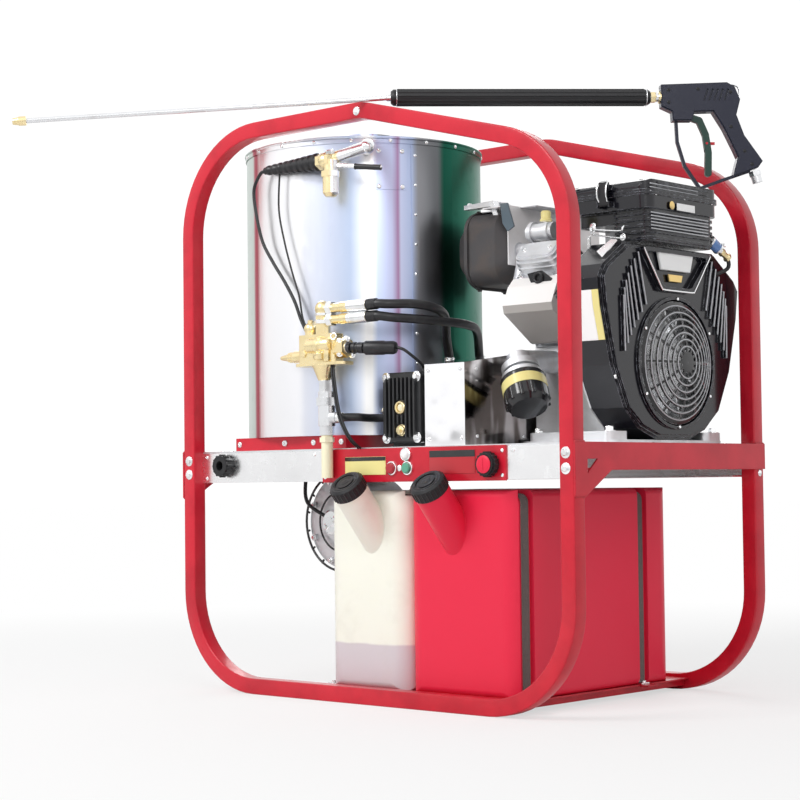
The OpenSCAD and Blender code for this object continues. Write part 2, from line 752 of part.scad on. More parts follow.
module grooved_pulley(r) difference() {
    rod_x(pulley_x, pulley_w, r);
    translate([pulley_x + pulley_w / 2, 0, 0]) rotate([0, 90, 0]) rotate_extrude()
        polygon([[r - groove_depth, -6.5], [r + 1, -10], [r + 1, 10], [r - groove_depth, 6.5]]);
}

module pump_pulley() color(cast_alloy) translate([0, pump_shaft_y, pump_shaft_z]) {
    difference() {
        grooved_pulley(pump_pulley_r);
        for (a = [0 : 72 : 288]) rotate([a, 0, 0]) translate([0, 36, 0]) rod_x(pulley_x - 1, pulley_w + 2, 15);
    }
    rod_x(pump_x1 - 38, pulley_x + pulley_w + 8 - pump_x1 + 38, pump_shaft_r);
}

module engine_pulley() color(cast_alloy) translate([0, crank_y, crank_z]) difference() {
    grooved_pulley(engine_pulley_r);
    rod_x(pulley_x - 1, pulley_w + 2, crank_r);
}

// Outline of a loop that runs round both pulleys
module belt_loop(grow) {
    a = [pump_shaft_y, pump_shaft_z];
    b = [crank_y, crank_z];
    ra = pump_pulley_r - groove_depth + seat_gap + grow;
    rb = engine_pulley_r - groove_depth + seat_gap + grow;
    line = atan2(b[1] - a[1], b[0] - a[0]);
    touch = acos((ra - rb) / norm(b - a));
    translate(a) circle(r = ra, $fn = 96);
    translate(b) circle(r = rb);
    up = [cos(line + touch), sin(line + touch)];
    down = [cos(line - touch), sin(line - touch)];
    polygon([a + ra * up, a + ra * down, b + rb * down, b + rb * up]);
}

module drive_belt() color(rubber) along_x(pulley_x + pulley_w / 2 - 6, 12) difference() {
    belt_loop(belt_t);
    belt_loop(0);
}

module guard_outline(inset) polygon([[guard_y + inset, deck_z - (inset > 0 ? 1 : 0)],
    [guard_y + guard_d - inset, deck_z - (inset > 0 ? 1 : 0)],
    [guard_y + guard_d - inset, deck_z + guard_front_h + guard_d * tan(guard_rise) - inset],
    [guard_y + inset, deck_z + guard_front_h - inset]]);

module belt_guard() color(stainless) difference() {
    union() {
        along_x(guard_x, guard_w) guard_outline(0);
        translate([guard_x, guard_y + guard_d, deck_z]) cube([guard_w, 22, 3]);
    }
    along_x(guard_x + guard_t, guard_w - 2 * guard_t) guard_outline(guard_t);
    translate([0, pump_shaft_y, pump_shaft_z]) rod_x(guard_x - 1, guard_t + 2, pump_shaft_r + 4);
    translate([0, crank_y, crank_z]) rod_x(guard_x + guard_w - 4, 8, crank_r + 6);
}

// ---------- engine ----------

block_front = -35;
block_back = 2 * crank_y - block_front;
mount_front = -114;
mount_back = 2 * crank_y - mount_front;
filter_axis = unit([0.45, -0.3, -0.84]);
filter_top = [268, -139, 618];

module engine_block() color(cast_alloy) difference() {
    union() {
        shoulder_z = crank_z + cylinder_foot * sqrt(2) - (crank_y - block_front);
        along_x(block_x, block_l) polygon([[block_front, deck_z + 14], [block_back, deck_z + 14],
            [block_back, shoulder_z], [crank_y + 20, crank_z + cylinder_foot * sqrt(2) - 20],
            [crank_y - 20, crank_z + cylinder_foot * sqrt(2) - 20], [block_front, shoulder_z]]);
        along_z(deck_z, 7) rounded_box(block_x + 18, mount_front, 458, mount_back, 24);
        for (y = [mount_front, mount_back - 62])
            along_z(deck_z, 23) rounded_box(block_x + 40, y, 452, y + 62, 14);
        translate([block_x + 18, block_front, deck_z + 6]) cube([block_l - 18, block_back - block_front, 10]);
        rod_between([262, block_front + 4, 656], filter_top - filter_axis * 44, 22);
        aim(filter_top - filter_axis * 44, filter_axis) {
            translate([0, 0, -10]) cylinder(h = 54, r = 24);
            translate([0, 0, 12]) cylinder(h = 14, r = filter_r - 6);
            translate([0, 0, 34]) cylinder(h = 10, r = filter_r - 3);
        }
        translate([0, crank_y, crank_z]) rod_x(block_x - 8, 8, 44);
        shroud_place() along_x(block_x + block_l, shroud_x - block_x - block_l) shroud_outline(3);
    }
    translate([0, crank_y, crank_z]) rod_x(block_x - 10, block_l + 20, crank_r + run_gap);
}

head_foot = cylinder_foot + barrel_l;
rocker_foot = head_foot + head_l;
port_z = head_foot + head_l / 2;
port_y = 30;
port_r = 19;

// One finned barrel with its head, exhaust port and rocker cover, upright above the crankshaft
module cylinder_unit(x) translate([x, 0, 0]) {
    pitch = barrel_l / fins;
    along_z(cylinder_foot, barrel_l) rounded_box(-40, -42, 40, 42, 14);
    for (i = [0 : fins - 1])
        along_z(cylinder_foot + (i + 0.5) * pitch, 3) rounded_box(-fin_w / 2, -fin_w / 2, fin_w / 2, fin_w / 2, 10);
    along_z(head_foot, head_l) rounded_box(-46, -50, 46, 50, 8);
    for (i = [0 : 3]) along_z(head_foot + 4 + i * 11, 3.5) rounded_box(-fin_w / 2, -56, fin_w / 2, 56, 8);
    for (step = [[0, 12], [3, 4], [8, 0]])
        along_z(rocker_foot, rocker_h - step[1])
            rounded_box(-50 + step[0], 2 + step[0], 50 - step[0], 58 - step[0], 16 - step[0] / 2);
    along_z(rocker_foot, 7) rounded_box(-54, -9, 54, 61, 14);
    along_z(rocker_foot + 18, 5) rounded_box(-52, 0, 52, 60, 17);
    translate([0, port_y, port_z]) rod_x(-fin_w / 2 - 4, fin_w / 2, port_r);
}

module front_cylinder() color(cast_alloy) translate([0, crank_y, crank_z]) rotate([vee, 0, 0])
    cylinder_unit(block_x + 64);

module rear_cylinder() color(cast_alloy) translate([0, crank_y, crank_z]) mirror([0, 1, 0])
    rotate([vee, 0, 0]) cylinder_unit(block_x + 74);

// Sheet that guides the air round the outer end and the underside of each cylinder
module cylinder_cowl() color("#d9d5c8") for (side = [0, 1])
    translate([0, crank_y, crank_z]) mirror([0, side, 0]) rotate([vee, 0, 0])
        along_x(block_x + 8 + side * 10, 119) polygon([[-12, rocker_foot + seat_gap], [-12, rocker_foot + 10],
            [-36, rocker_foot + 10], [-74, rocker_foot - 4], [-82, rocker_foot - 17],
            [-62, cylinder_foot + 22], [-fin_w / 2 - seat_gap, cylinder_foot + 16],
            [-fin_w / 2 - seat_gap, rocker_foot + seat_gap]]);

// Front view of the shroud: narrow round the fan and spread to a vee above the cylinders
function shroud_half(inset) = [[0, -146 + inset], [54 - inset * 0.3, -146 + inset], [112 - inset * 0.8, -126 + inset * 0.7],
    [156 - inset, -88], [196 - inset, -10], [224 - inset, 96], [232 - inset, 150 + inset * 0.2],
    [216 - inset * 0.9, 176 - inset * 0.5], [148 - inset * 0.4, 222 - inset], [0, 222 - inset]];

module shroud_outline(inset) for (side = [0, 1]) mirror([side, 0])
    polygon(shroud_half(inset));

module shroud_place() translate([0, crank_y, crank_z]) children();

module engine_shroud() color(black) shroud_place() difference() {
    union() {
        along_x(shroud_x, shroud_d - 10) shroud_outline(0);
        along_x(shroud_x, shroud_d - 5) shroud_outline(4);
        along_x(shroud_x, shroud_d) shroud_outline(9);
        rod_x(shroud_x, shroud_d + 6, screen_r + 9);
        along_x(shroud_x + shroud_d - 4, 14) vee_window(0);
        for (side = [-1, 1], i = [0 : 6])
            along_x(shroud_x + shroud_d - 6, 12) bar([side * (124 + i * 14 - i * i), 204 - i * 14],
                [side * (100 + i * 14 - i * i * 0.4), 106 - i * 15], 5);
    }
    along_x(shroud_x - 1, shroud_d - shroud_t - 4) shroud_outline(9 + shroud_t);
    rod_x(shroud_x - 1, shroud_d + 20, screen_r + 3);
    along_x(shroud_x + shroud_d - 2, 30) vee_window(8);
}

// Window between the shroud's two arms, wide at the top
module vee_window(inset) for (side = [0, 1]) mirror([side, 0])
    polygon([[0, 216 - inset], [104 - inset, 216 - inset], [110 - inset * 1.2, 210 - inset],
        [56 - inset, 142 + inset * 0.6], [44 - inset * 0.7, 136 + inset], [0, 136 + inset]]);

module crankshaft() color(cast_alloy) translate([0, crank_y, crank_z]) {
    rod_x(pulley_x - 6, shroud_x + 62 - pulley_x + 6, crank_r);
}

flywheel_x = shroud_x + 44;

module flywheel() color(cast_alloy) translate([0, crank_y, crank_z]) difference() {
    union() {
        rod_x(flywheel_x, 14, screen_r - 4);
        rod_x(flywheel_x - 16, 16, 60);
        for (a = [0 : 24 : 336]) rotate([a, 0, 0])
            translate([flywheel_x + 13, 62, -2]) cube([13, screen_r - 76, 4]);
    }
    rod_x(flywheel_x - 17, 35, crank_r);
}

// Domed screen with rings of slots between spokes, on a rim that sits on the flywheel
module fan_screen() color(black) translate([0, crank_y, crank_z]) {
    rim_x = flywheel_x + 14;
    face_x = shroud_x + shroud_d + 4;
    dome_r = (screen_r * screen_r + screen_bulge * screen_bulge) / (2 * screen_bulge);
    centre_x = face_x + screen_bulge - dome_r;
    slot_pitch = (screen_r - 26) / screen_rings;
    difference() {
        translate([centre_x, 0, 0]) rotate([0, 90, 0]) rotate_extrude($fn = 96) intersection() {
            difference() {
                circle(r = dome_r, $fn = 160);
                circle(r = dome_r - 2.5, $fn = 160);
            }
            translate([0, face_x - centre_x - 3]) square([screen_r - 0.5, screen_bulge + 10]);
        }
        difference() {
            for (i = [0 : screen_rings - 1])
                difference() {
                    rod_x(face_x - 10, screen_bulge + 20, 20 + (i + 0.62) * slot_pitch);
                    rod_x(face_x - 11, screen_bulge + 22, 20 + i * slot_pitch);
                }
            for (k = [0 : screen_spokes / 2 - 1])
                rotate([k * 360 / screen_spokes, 0, 0])
                    translate([face_x - 12, -screen_r, -2.5]) cube([screen_bulge + 24, 2 * screen_r, 5]);
        }
    }
    difference() {
        rod_x(rim_x, face_x - rim_x, screen_r);
        rod_x(rim_x - 1, face_x - rim_x + 2, screen_r - 4.5);
    }
}

module cleaner_block(z0, h, inset, edge) intersection() {
    along_z(z0, h) rounded([[cleaner_x + inset, cleaner_y + inset],
        [cleaner_x + cleaner_w - inset, cleaner_y + inset],
        [cleaner_x + cleaner_w - inset, cleaner_y + cleaner_d - inset],
        [cleaner_x + inset, cleaner_y + cleaner_d - inset]], [18, 24, 24, 18]);
    along_x(cleaner_x - 1, cleaner_w + 2)
        rounded([[cleaner_y + inset, z0 - 1], [cleaner_y + cleaner_d - inset, z0 - 1],
            [cleaner_y + cleaner_d - inset, z0 + h], [cleaner_y + inset, z0 + h]], [0, 0, edge, edge]);
}

box_x = cleaner_x + 92;
box_x1 = cleaner_x + cleaner_w - 4;
box_y = cleaner_y + 12;
box_y1 = cleaner_y + cleaner_d - 12;
box_z = cleaner_z - intake_box_h;
elbow_h = 24;
latch_x = cleaner_x + 95;
latch_y = cleaner_y - 8;
latch_pivot_z = cleaner_z + cleaner_base_h - 18;
latch_l = 42;

module air_cleaner_base() color(black) difference() {
    union() {
        cleaner_block(cleaner_z, cleaner_base_h, 3, 1);
        cleaner_block(cleaner_z + cleaner_base_h - 5, 5, 0, 1);
        along_z(box_z, intake_box_h + 1) rounded_box(box_x + 4, box_y + 4, box_x1 - 4, box_y1 - 4, 18);
        for (i = [0 : 4]) along_z(box_z + 4 + i * rib_pitch, rib_pitch * 0.45)
            rounded_box(box_x, box_y, box_x1, box_y1, 22);
        along_z(cleaner_z - elbow_h, elbow_h + 1)
            rounded_box(cleaner_x + 10, box_y + 12, box_x + 12, box_y1 - 12, 12);
        for (side = [-1, 1]) translate([latch_x + side * 13.5 - 1.5, latch_y - 5, latch_pivot_z - 6])
            cube([3, 20, 11]);
    }
    translate([latch_x, latch_y, latch_pivot_z]) rotate([0, 90, 0])
        cylinder(h = 40, r = 2 + run_gap, center = true);
    translate([0, 0, 4]) cleaner_block(cleaner_z, cleaner_base_h, 8, 1);
    along_z(box_z + 4, intake_box_h + 4) rounded_box(box_x + 9, box_y + 9, box_x1 - 9, box_y1 - 9, 14);
    translate([intake_x, crank_y, cleaner_z - elbow_h - 1]) cylinder(h = elbow_h + 8, r = 20);
}

module air_cleaner_cover() color(black) {
    z0 = cleaner_z + cleaner_base_h;
    difference() {
        union() {
            cleaner_block(z0, cleaner_cover_h, 3, 16);
            cleaner_block(z0, 5, 0, 1);
            translate([latch_x - 10, latch_y + 1, latch_pivot_z + latch_l - 14]) cube([20, 14, 10 - seat_gap]);
            for (i = [0, 1]) translate([cleaner_x + cleaner_w - 6, cleaner_y + 34, z0 + 9 + i * 8])
                cube([5, cleaner_d - 78, 3.5]);
        }
        translate([0, 0, -1]) cleaner_block(z0, cleaner_cover_h - 3, 8, 12);
    }
}

module filter_element() color("#d8c9a0") difference() {
    z0 = cleaner_z + 4;
    along_z(z0, 38) rounded_box(cleaner_x + 16, cleaner_y + 30, cleaner_x + cleaner_w - 26,
        cleaner_y + cleaner_d - 30, 14);
    along_z(z0 - 1, 30) rounded_box(cleaner_x + 60, cleaner_y + 60, cleaner_x + cleaner_w - 46,
        cleaner_y + cleaner_d - 60, 10);
    translate([intake_x, crank_y, z0 - 1]) cylinder(h = 30, r = 20);
}

module cleaner_latch() color("#4a4c50") {
    translate([latch_x, latch_y, latch_pivot_z]) rotate([0, 90, 0]) {
        cylinder(h = 22, r = 4, center = true);
        cylinder(h = 30, r = 2, center = true);
    }
    translate([latch_x - 9, latch_y - 4, latch_pivot_z]) cube([18, 3, latch_l]);
    translate([latch_x - 9, latch_y - 4, latch_pivot_z + latch_l - 4]) cube([18, 9, 4]);
}

muffler_x = 38;
muffler_l = 142;
muffler_y0 = -78;
muffler_y1 = 226;
muffler_z = 888;

module muffler() color("#55565a") {
    // Two pressed half shells with a rolled seam between them
    half_h = 72;
    for (shell = [[0, 42, 0], [42, muffler_l - 42, 1]])
        hull() {
            along_x(muffler_x + shell[0] + (shell[2] == 0 ? 0 : 0.01), 1)
                translate([0, 0]) rounded_box(muffler_y0 + (shell[2] == 0 ? 26 : 0),
                    muffler_z - half_h + (shell[2] == 0 ? 26 : 0),
                    muffler_y1 - (shell[2] == 0 ? 26 : 0), muffler_z + half_h - (shell[2] == 0 ? 26 : 0), 30);
            along_x(muffler_x + shell[0] + shell[1] - (shell[2] == 0 ? 1 : 30), 1)
                rounded_box(muffler_y0, muffler_z - half_h, muffler_y1, muffler_z + half_h, 40);
            along_x(muffler_x + shell[0] + shell[1] - 1, 1)
                rounded_box(muffler_y0 + (shell[2] == 0 ? 0 : 20), muffler_z - half_h + (shell[2] == 0 ? 0 : 20),
                    muffler_y1 - (shell[2] == 0 ? 0 : 20), muffler_z + half_h - (shell[2] == 0 ? 0 : 20), 40);
        }
    along_x(muffler_x + 38, 8) rounded_box(muffler_y0 - 5, muffler_z - half_h - 5,
        muffler_y1 + 5, muffler_z + half_h + 5, 44);
}

pipe_r = 14;

module exhaust_pipes() color(cast_alloy) {
    for (side = [-1, 1]) {
        y = crank_y + side * (port_z - port_y) / sqrt(2);
        z = crank_z + (port_z + port_y) / sqrt(2);
        x1 = block_x + (side < 0 ? 64 : 74) - fin_w / 2 - 4;
        x0 = muffler_x + muffler_l;
        end = [x0, y - side * 16, muffler_z - 8];
        low_bend = [x1 - 19, y, z];
        high_bend = end + [19, 0, 0];
        translate(low_bend) rod_x(0, 19, pipe_r);
        translate([x1 - 8, y, z]) rod_x(0, 8, pipe_r + 3);
        translate(low_bend) sphere(r = pipe_r + 0.6);
        rod_between(low_bend, high_bend, pipe_r);
        translate(high_bend) sphere(r = pipe_r + 0.6);
        translate(end) rod_x(0, 19, pipe_r);
        translate(end) rod_x(0, 6, pipe_r + 3);
    }
    shield_z = muffler_z + 77;
    translate([muffler_x + 38, muffler_y0 + 40, shield_z]) cube([150, muffler_y1 - muffler_y0 - 80, 2]);
    along_y(muffler_y0 + 40, 22) stroke([[muffler_x + 22, shield_z + 14], [muffler_x + 96, shield_z + 16],
        [muffler_x + 120, shield_z + 2]], 5);
}

module oil_filter() color(black) aim(filter_top, filter_axis) {
    cylinder(h = filter_l - 12, r = filter_r);
    translate([0, 0, filter_l - 12]) cylinder(h = 12, r1 = filter_r, r2 = filter_r - 8);
    for (a = [0 : 30 : 330]) rotate([0, 0, a])
        translate([filter_r - 3, 0, filter_l - 34]) cylinder(h = 26, r = 4.5, $fn = 16);
}

breather = [232, -66, 908];

module carburettor() color(cast_alloy) {
    z0 = crank_z + cylinder_foot * sqrt(2) - 20;
    translate([intake_x, crank_y, 0]) {
        along_z(z0, 60) rounded_box(-34, -22, 24, 22, 6);
        translate([0, 0, z0 + 60]) cylinder(h = cleaner_z - elbow_h - z0 - 60, r = 22);
        translate([0, 0, z0 + 26]) rod_y(-44, 30, 16);
    }
    translate(breather) {
        rod_x(0, 62, 17);
        rod_x(6, 8, 21);
        rod_x(46, 8, 21);
    }
    rod_between(breather + [50, 10, 0], [intake_x - 20, crank_y - 16, z0 + 44], 11);
}

// ---------- tanks ----------

red_x = tank_x + white_w;
tank_x1 = red_x + red_w;
tank_back = tank_y + tank_d;
channel_ys = [-249, 109];
neck_foot_z = 341;
neck_l = 87;
mouth_l = 18;

// Side view of the strap line that both tanks share
module strap_core(inset) rounded_box(tank_x + inset, tray_z - 60, tank_x1 - inset, tank_top - inset,
    tank_edge_r + 2);

module tank_block(x0, x1, inset) intersection() {
    along_z(tray_z + inset, tank_h - 2 * inset)
        rounded_box(x0 + inset, tank_y + inset, x1 - inset, tank_back - inset, tank_r - inset);
    along_y(tank_y, tank_d)
        rounded_box(x0 + inset, tray_z + inset, x1 - inset, tank_top - inset, tank_edge_r - inset);
    along_x(x0, x1 - x0)
        rounded_box(tank_y + inset, tray_z + inset, tank_back - inset, tank_top - inset, tank_edge_r - inset);
}

module strap_channels(inset, spare) for (y = channel_ys)
    along_y(y - spare, channel_w + 2 * spare) difference() {
        translate([tank_x - 50, -50]) square([tank_x1 - tank_x + 100, tank_top + 100]);
        strap_core(inset);
    }

module neck_place(x) translate([x, tank_y, neck_foot_z]) rotate([neck_lean, 0, 0]) children();

module tank(x0, x1, neck_x) difference() {
    union() {
        difference() {
            tank_block(x0, x1, 0);
            strap_channels(channel_d, 0);
        }
        difference() {
            neck_place(neck_x) {
                translate([0, 0, -60]) cylinder(h = neck_l + 60, r = neck_r);
                translate([0, 0, neck_l]) cylinder(h = mouth_l, r = mouth_r);
            }
            translate([neck_x - 60, tank_y + 2, 0]) cube([120, 200, frame_h]);
        }
    }
    difference() {
        tank_block(x0, x1, tank_wall);
        strap_channels(channel_d + tank_wall, tank_wall);
    }
    neck_place(neck_x) translate([0, 0, -20]) cylinder(h = neck_l + mouth_l + 30, r = neck_bore_r);
}

white_neck_x = -18;
red_neck_x = 191;

module white_tank() color(tank_white) tank(tank_x, red_x - seat_gap, white_neck_x);

module red_tank() color(tank_red) tank(red_x, tank_x1, red_neck_x);

module tank_cap(x) color(black) neck_place(x) translate([0, 0, neck_l + seat_gap]) difference() {
    union() {
        cylinder(h = cap_h - 4, r = cap_r - 1.5);
        translate([0, 0, cap_h - 4]) cylinder(h = 4, r1 = cap_r - 1.5, r2 = cap_r - 6);
        for (a = [0 : 15 : 345]) rotate([0, 0, a]) translate([cap_r - 2, 0, 1]) cylinder(h = cap_h - 6, r = 2);
    }
    translate([0, 0, -1]) cylinder(h = mouth_l + 1, r = mouth_r + seat_gap);
    difference() {
        translate([0, 0, cap_h - 2]) cylinder(h = 3, r = cap_r - 14);
        translate([0, 0, cap_h - 3]) cylinder(h = 3, r = cap_r - 19);
    }
}

module white_tank_cap() tank_cap(white_neck_x);

module red_tank_cap() tank_cap(red_neck_x);

module tank_straps() color("#4d4440") for (y = channel_ys) {
    y0 = y + (channel_w - strap_w) / 2;
    along_y(y0, strap_w) difference() {
        strap_core(channel_d - seat_gap - strap_t);
        strap_core(channel_d - seat_gap);
        translate([tank_x - 100, -100]) square([tank_x1 - tank_x + 200, 100 + tray_z]);
    }
    for (x = [tank_x + channel_d - seat_gap - strap_t - 23, tank_x1 - channel_d + seat_gap + strap_t - 1])
        translate([x, y0 - 2, tray_z]) cube([24, strap_w + 4, 3]);
}

// ---------- wand ----------

hoop_top_at_wand = frame_h - (wand_x - peak_x) * tan(top_slope);
bend_s = 48;
bow_s = 651;
wand_z = hoop_top_at_wand + seat_gap + lance_r / cos(lance_bend) + bend_s * tan(lance_bend);
wand_tilt = asin((cleaner_top + seat_gap - wand_z) / norm([bow_s, bow_drop])) + atan2(bow_drop, bow_s);
sleeve_end = bend_s + sleeve_l;

module wand_place() translate([wand_x, -half_d, wand_z]) rotate([0, 0, wand_yaw])
    rotate([0, -wand_tilt, 0]) children();

// Outline drawn in the wand's own upright plane, centred on its thickness
module wand_plate(t) rotate([90, 0, 0]) translate([0, 0, -t / 2]) linear_extrude(t) children();

module lance_pipe() color(stainless) wand_place() {
    rod_x(sleeve_end, 20, 9);
    translate([bend_s, 0, 0]) rotate([0, -90 - lance_bend, 0]) cylinder(h = lance_l, r = lance_r);
    rod_x(bend_s - 6, 7, lance_r + 2);
    rod_x(bend_s, sleeve_end - bend_s, lance_r);
}

module lance_sleeve() color(rubber) wand_place() difference() {
    union() {
        rod_x(bend_s + 6, sleeve_l - 12, sleeve_r);
        translate([bend_s + 6, 0, 0]) rotate([0, -90, 0]) cylinder(h = 5, r1 = sleeve_r, r2 = sleeve_r - 4);
        translate([sleeve_end - 6, 0, 0]) rotate([0, 90, 0]) cylinder(h = 6, r1 = sleeve_r, r2 = sleeve_r - 4);
        for (a = [0 : 30 : 330]) rotate([a, 0, 0])
            translate([0, sleeve_r, 0]) rod_x(bend_s + 12, sleeve_l - 24, 1.2);
    }
    rod_x(bend_s - 10, sleeve_l + 20, lance_r + run_gap);
}

module spray_nozzle() color(brass) wand_place() translate([bend_s, 0, 0]) rotate([0, -90 - lance_bend, 0])
    translate([0, 0, lance_l]) difference() {
        union() {
            cylinder(h = 14, r = 9, $fn = 24);
            translate([0, 0, 14]) cylinder(h = 12, r1 = 8, r2 = 6);
        }
        translate([0, 0, 12]) cylinder(h = 20, r = 2);
    }

pivot = [618.5, -34.5];
gun_outline = [[578, -19], [599, -29], [600, -46], [634, -46], [640, -29], [679, -28], [700, -62], [722, -108],
    [727, -120], [717.6, -155.4], [764, -138], [772, -127], [737, -77], [722, -36], [730, -6], [720, 18],
    [706, 26], [578, 21.5]];

module gun_body() color(black) wand_place() difference() {
    union() {
        wand_plate(gun_t) polygon(gun_outline);
        wand_plate(gun_t - 8) offset(delta = 2) polygon(gun_outline);
        wand_plate(8) stroke([[606, -40], [608, -88], [622, -136], [651, 3 - bow_drop], [694, -164],
            [748, -146]], 6);
        translate([pivot[0], 0, pivot[1]]) rod_y(-gun_t / 2, gun_t, 2.5);
    }
    difference() {
        translate([610, -5.5, -60]) cube([50, 11, 44]);
        translate([pivot[0], 0, pivot[1]]) rod_y(-gun_t / 2, gun_t, 2.5);
    }
    translate([640, -5.5, -40]) cube([26, 11, 24]);
    for (i = [0 : 4])
        translate([658 + i * 10, -20, -8]) rotate([0, 20, 0]) cube([3.5, 8, 24]);
    for (i = [0 : 4])
        translate([658 + i * 10, 12, -8]) rotate([0, 20, 0]) cube([3.5, 8, 24]);
}

inlet_direction = [5, 0, -18];

module gun_inlet() color(stainless) wand_place() {
    aim([758.5, 0, -140.4], inlet_direction) {
        translate([0, 0, 5]) cylinder(h = 10, r = 12, $fn = 6);
        translate([0, 0, 15]) cylinder(h = 14, r = 10);
    }
}

trigger_line = [pivot, [652, -46], [664, -74], [669, -109], [668, -150]];
latch_pin = [666, -91];
latch_slot = 6;

module trigger() color("#20352f") wand_place() difference() {
    wand_plate(10) stroke(trigger_line, 13);
    translate([pivot[0], 0, pivot[1]]) rod_y(-10, 20, 2.5 + run_gap);
    translate([latch_pin[0], 0, latch_pin[1]]) rod_y(-10, 20, 2.5 + run_gap);
    translate([latch_pin[0] - 4.3, -latch_slot / 2, latch_pin[1] - 18]) cube([20, latch_slot, 23]);
}

module safety_latch() color("#c22030") wand_place() translate([latch_pin[0], 0, latch_pin[1]]) {
    rod_y(-5, 10, 2.5);
    rod_y(-latch_slot / 2 + seat_gap, latch_slot - 2 * seat_gap, 3.8);
    translate([0, -latch_slot / 2 + seat_gap, -2.5]) cube([16, latch_slot - 2 * seat_gap, 5]);
}

front_hoop();
rear_hoop();
front_rail();
rear_rail();
left_side_rail();
right_side_rail();
tank_tray();
deck_plate();
control_panel();
boiler_base();
boiler_jacket();
boiler_lid();
heating_coil();
burner();
coil_outlet();
wiring_harness();
unloader_valve();
unloader_knob();
water_strainer();
outlet_tube();
pressure_hoses();
hose_coupler();
pump_crankcase();
pump_cover();
pump_head();
pump_pulley();
drive_belt();
belt_guard();
engine_block();
front_cylinder();
rear_cylinder();
cylinder_cowl();
engine_shroud();
crankshaft();
engine_pulley();
flywheel();
fan_screen();
air_cleaner_base();
air_cleaner_cover();
filter_element();
cleaner_latch();
muffler();
exhaust_pipes();
oil_filter();
carburettor();
white_tank();
red_tank();
white_tank_cap();
red_tank_cap();
tank_straps();
burner_knob();
stop_button();
start_button();
lance_pipe();
lance_sleeve();
spray_nozzle();
gun_body();
gun_inlet();
trigger();
safety_latch();
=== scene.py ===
# %% [markdown]
# # A hot-water pressure washer in a tube cage
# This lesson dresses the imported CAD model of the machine. The CAD solids are the fixed frame of the
# work: they keep their shape and place, and each cell adds finishes or small parts to them. Working
# on top of finished solids keeps every added bolt, hose and label exactly where the metal is.

# %% Load the frame
import math
import random

import bmesh
import bpy
from mathutils import Matrix, Vector


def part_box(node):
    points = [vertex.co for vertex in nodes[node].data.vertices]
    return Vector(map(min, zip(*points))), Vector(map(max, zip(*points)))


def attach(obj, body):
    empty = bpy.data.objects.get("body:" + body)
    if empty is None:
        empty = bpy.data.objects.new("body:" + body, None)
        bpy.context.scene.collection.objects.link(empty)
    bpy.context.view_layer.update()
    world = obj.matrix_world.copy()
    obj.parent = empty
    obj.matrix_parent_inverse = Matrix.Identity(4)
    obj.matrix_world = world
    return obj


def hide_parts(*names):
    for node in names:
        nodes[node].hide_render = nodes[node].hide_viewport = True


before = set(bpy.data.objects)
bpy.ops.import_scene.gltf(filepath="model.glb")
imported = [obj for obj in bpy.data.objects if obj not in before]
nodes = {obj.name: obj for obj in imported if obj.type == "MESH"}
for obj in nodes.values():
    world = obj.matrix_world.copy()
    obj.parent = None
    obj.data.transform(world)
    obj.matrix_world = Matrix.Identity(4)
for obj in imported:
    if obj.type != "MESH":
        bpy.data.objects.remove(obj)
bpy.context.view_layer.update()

for plain in list(bpy.data.materials):
    bpy.data.materials.remove(plain)
MM = 0.001
random.seed(7)

# %% [markdown]
# ## Camera
# A product picture is taken with a long lens from a few metres away, so that upright tubes stay
# nearly parallel. The camera could be aimed with a constraint. Its three axes are worked out here
# from yaw, pitch and roll, because plain numbers give the same view on every run.

# %% Camera
def aim_camera(place, yaw, pitch, roll, lens):
    """Stands a camera at a place, turned by three angles in degrees."""
    y, p, r = (math.radians(a) for a in (yaw, pitch, roll))
    forward = Vector((math.sin(y) * math.cos(p), math.cos(y) * math.cos(p), math.sin(p)))
    right = Vector((math.cos(y), -math.sin(y), 0))
    up = right.cross(forward)
    side = math.cos(r) * right + math.sin(r) * up
    top = -math.sin(r) * right + math.cos(r) * up
    data = bpy.data.cameras.new("camera")
    data.lens = lens
    data.sensor_width = 36
    data.clip_end = 100
    camera = bpy.data.objects.new("camera", data)
    camera.matrix_world = Matrix.Translation(place) @ Matrix((side, top, -forward)).transposed().to_4x4()
    bpy.context.scene.collection.objects.link(camera)
    bpy.context.scene.camera = camera
    return camera


camera = aim_camera(Vector((2.5686, -2.9971, 0.4264)), yaw=-42.503, pitch=2.440, roll=-0.653, lens=86.67)
print("camera at", [round(c, 2) for c in camera.matrix_world.translation])

# %% [markdown]
# ## Expressions for materials
# A finish is a small sum of masks: grain, wear, dust. Wiring each Math node by hand is slow to read,
# so one class wraps a socket and Python's own operators add the nodes. Colours go through Mix and
# directions through Vector Math, because a Math node would turn a colour grey.

# %% Fields and finishes
def operator(operation, reflected=False):
    """An operator of Field that adds one Math node."""
    def apply(self, other):
        values = (other, self) if reflected else (self, other)
        return self.maths(operation, *values)
    return apply


class Field:
    """A value that varies over a surface."""
    __add__, __radd__ = operator("ADD"), operator("ADD", True)
    __sub__, __rsub__ = operator("SUBTRACT"), operator("SUBTRACT", True)
    __mul__, __rmul__ = operator("MULTIPLY"), operator("MULTIPLY", True)
    __truediv__, __rtruediv__ = operator("DIVIDE"), operator("DIVIDE", True)

    def __init__(self, finish, socket):
        self.finish, self.socket = finish, socket

    def maths(self, operation, *values):
        return self.finish.node("Math", {"operation": operation}, dict(enumerate(values)))

    def wave(self):
        return self.maths("SINE", self)

    def between(self, low, high):
        """0 below low and 1 above high, with a soft step."""
        return self.finish.node("MapRange", {"interpolation_type": "SMOOTHSTEP"},
            {"Value": self, "From Min": low, "From Max": high})


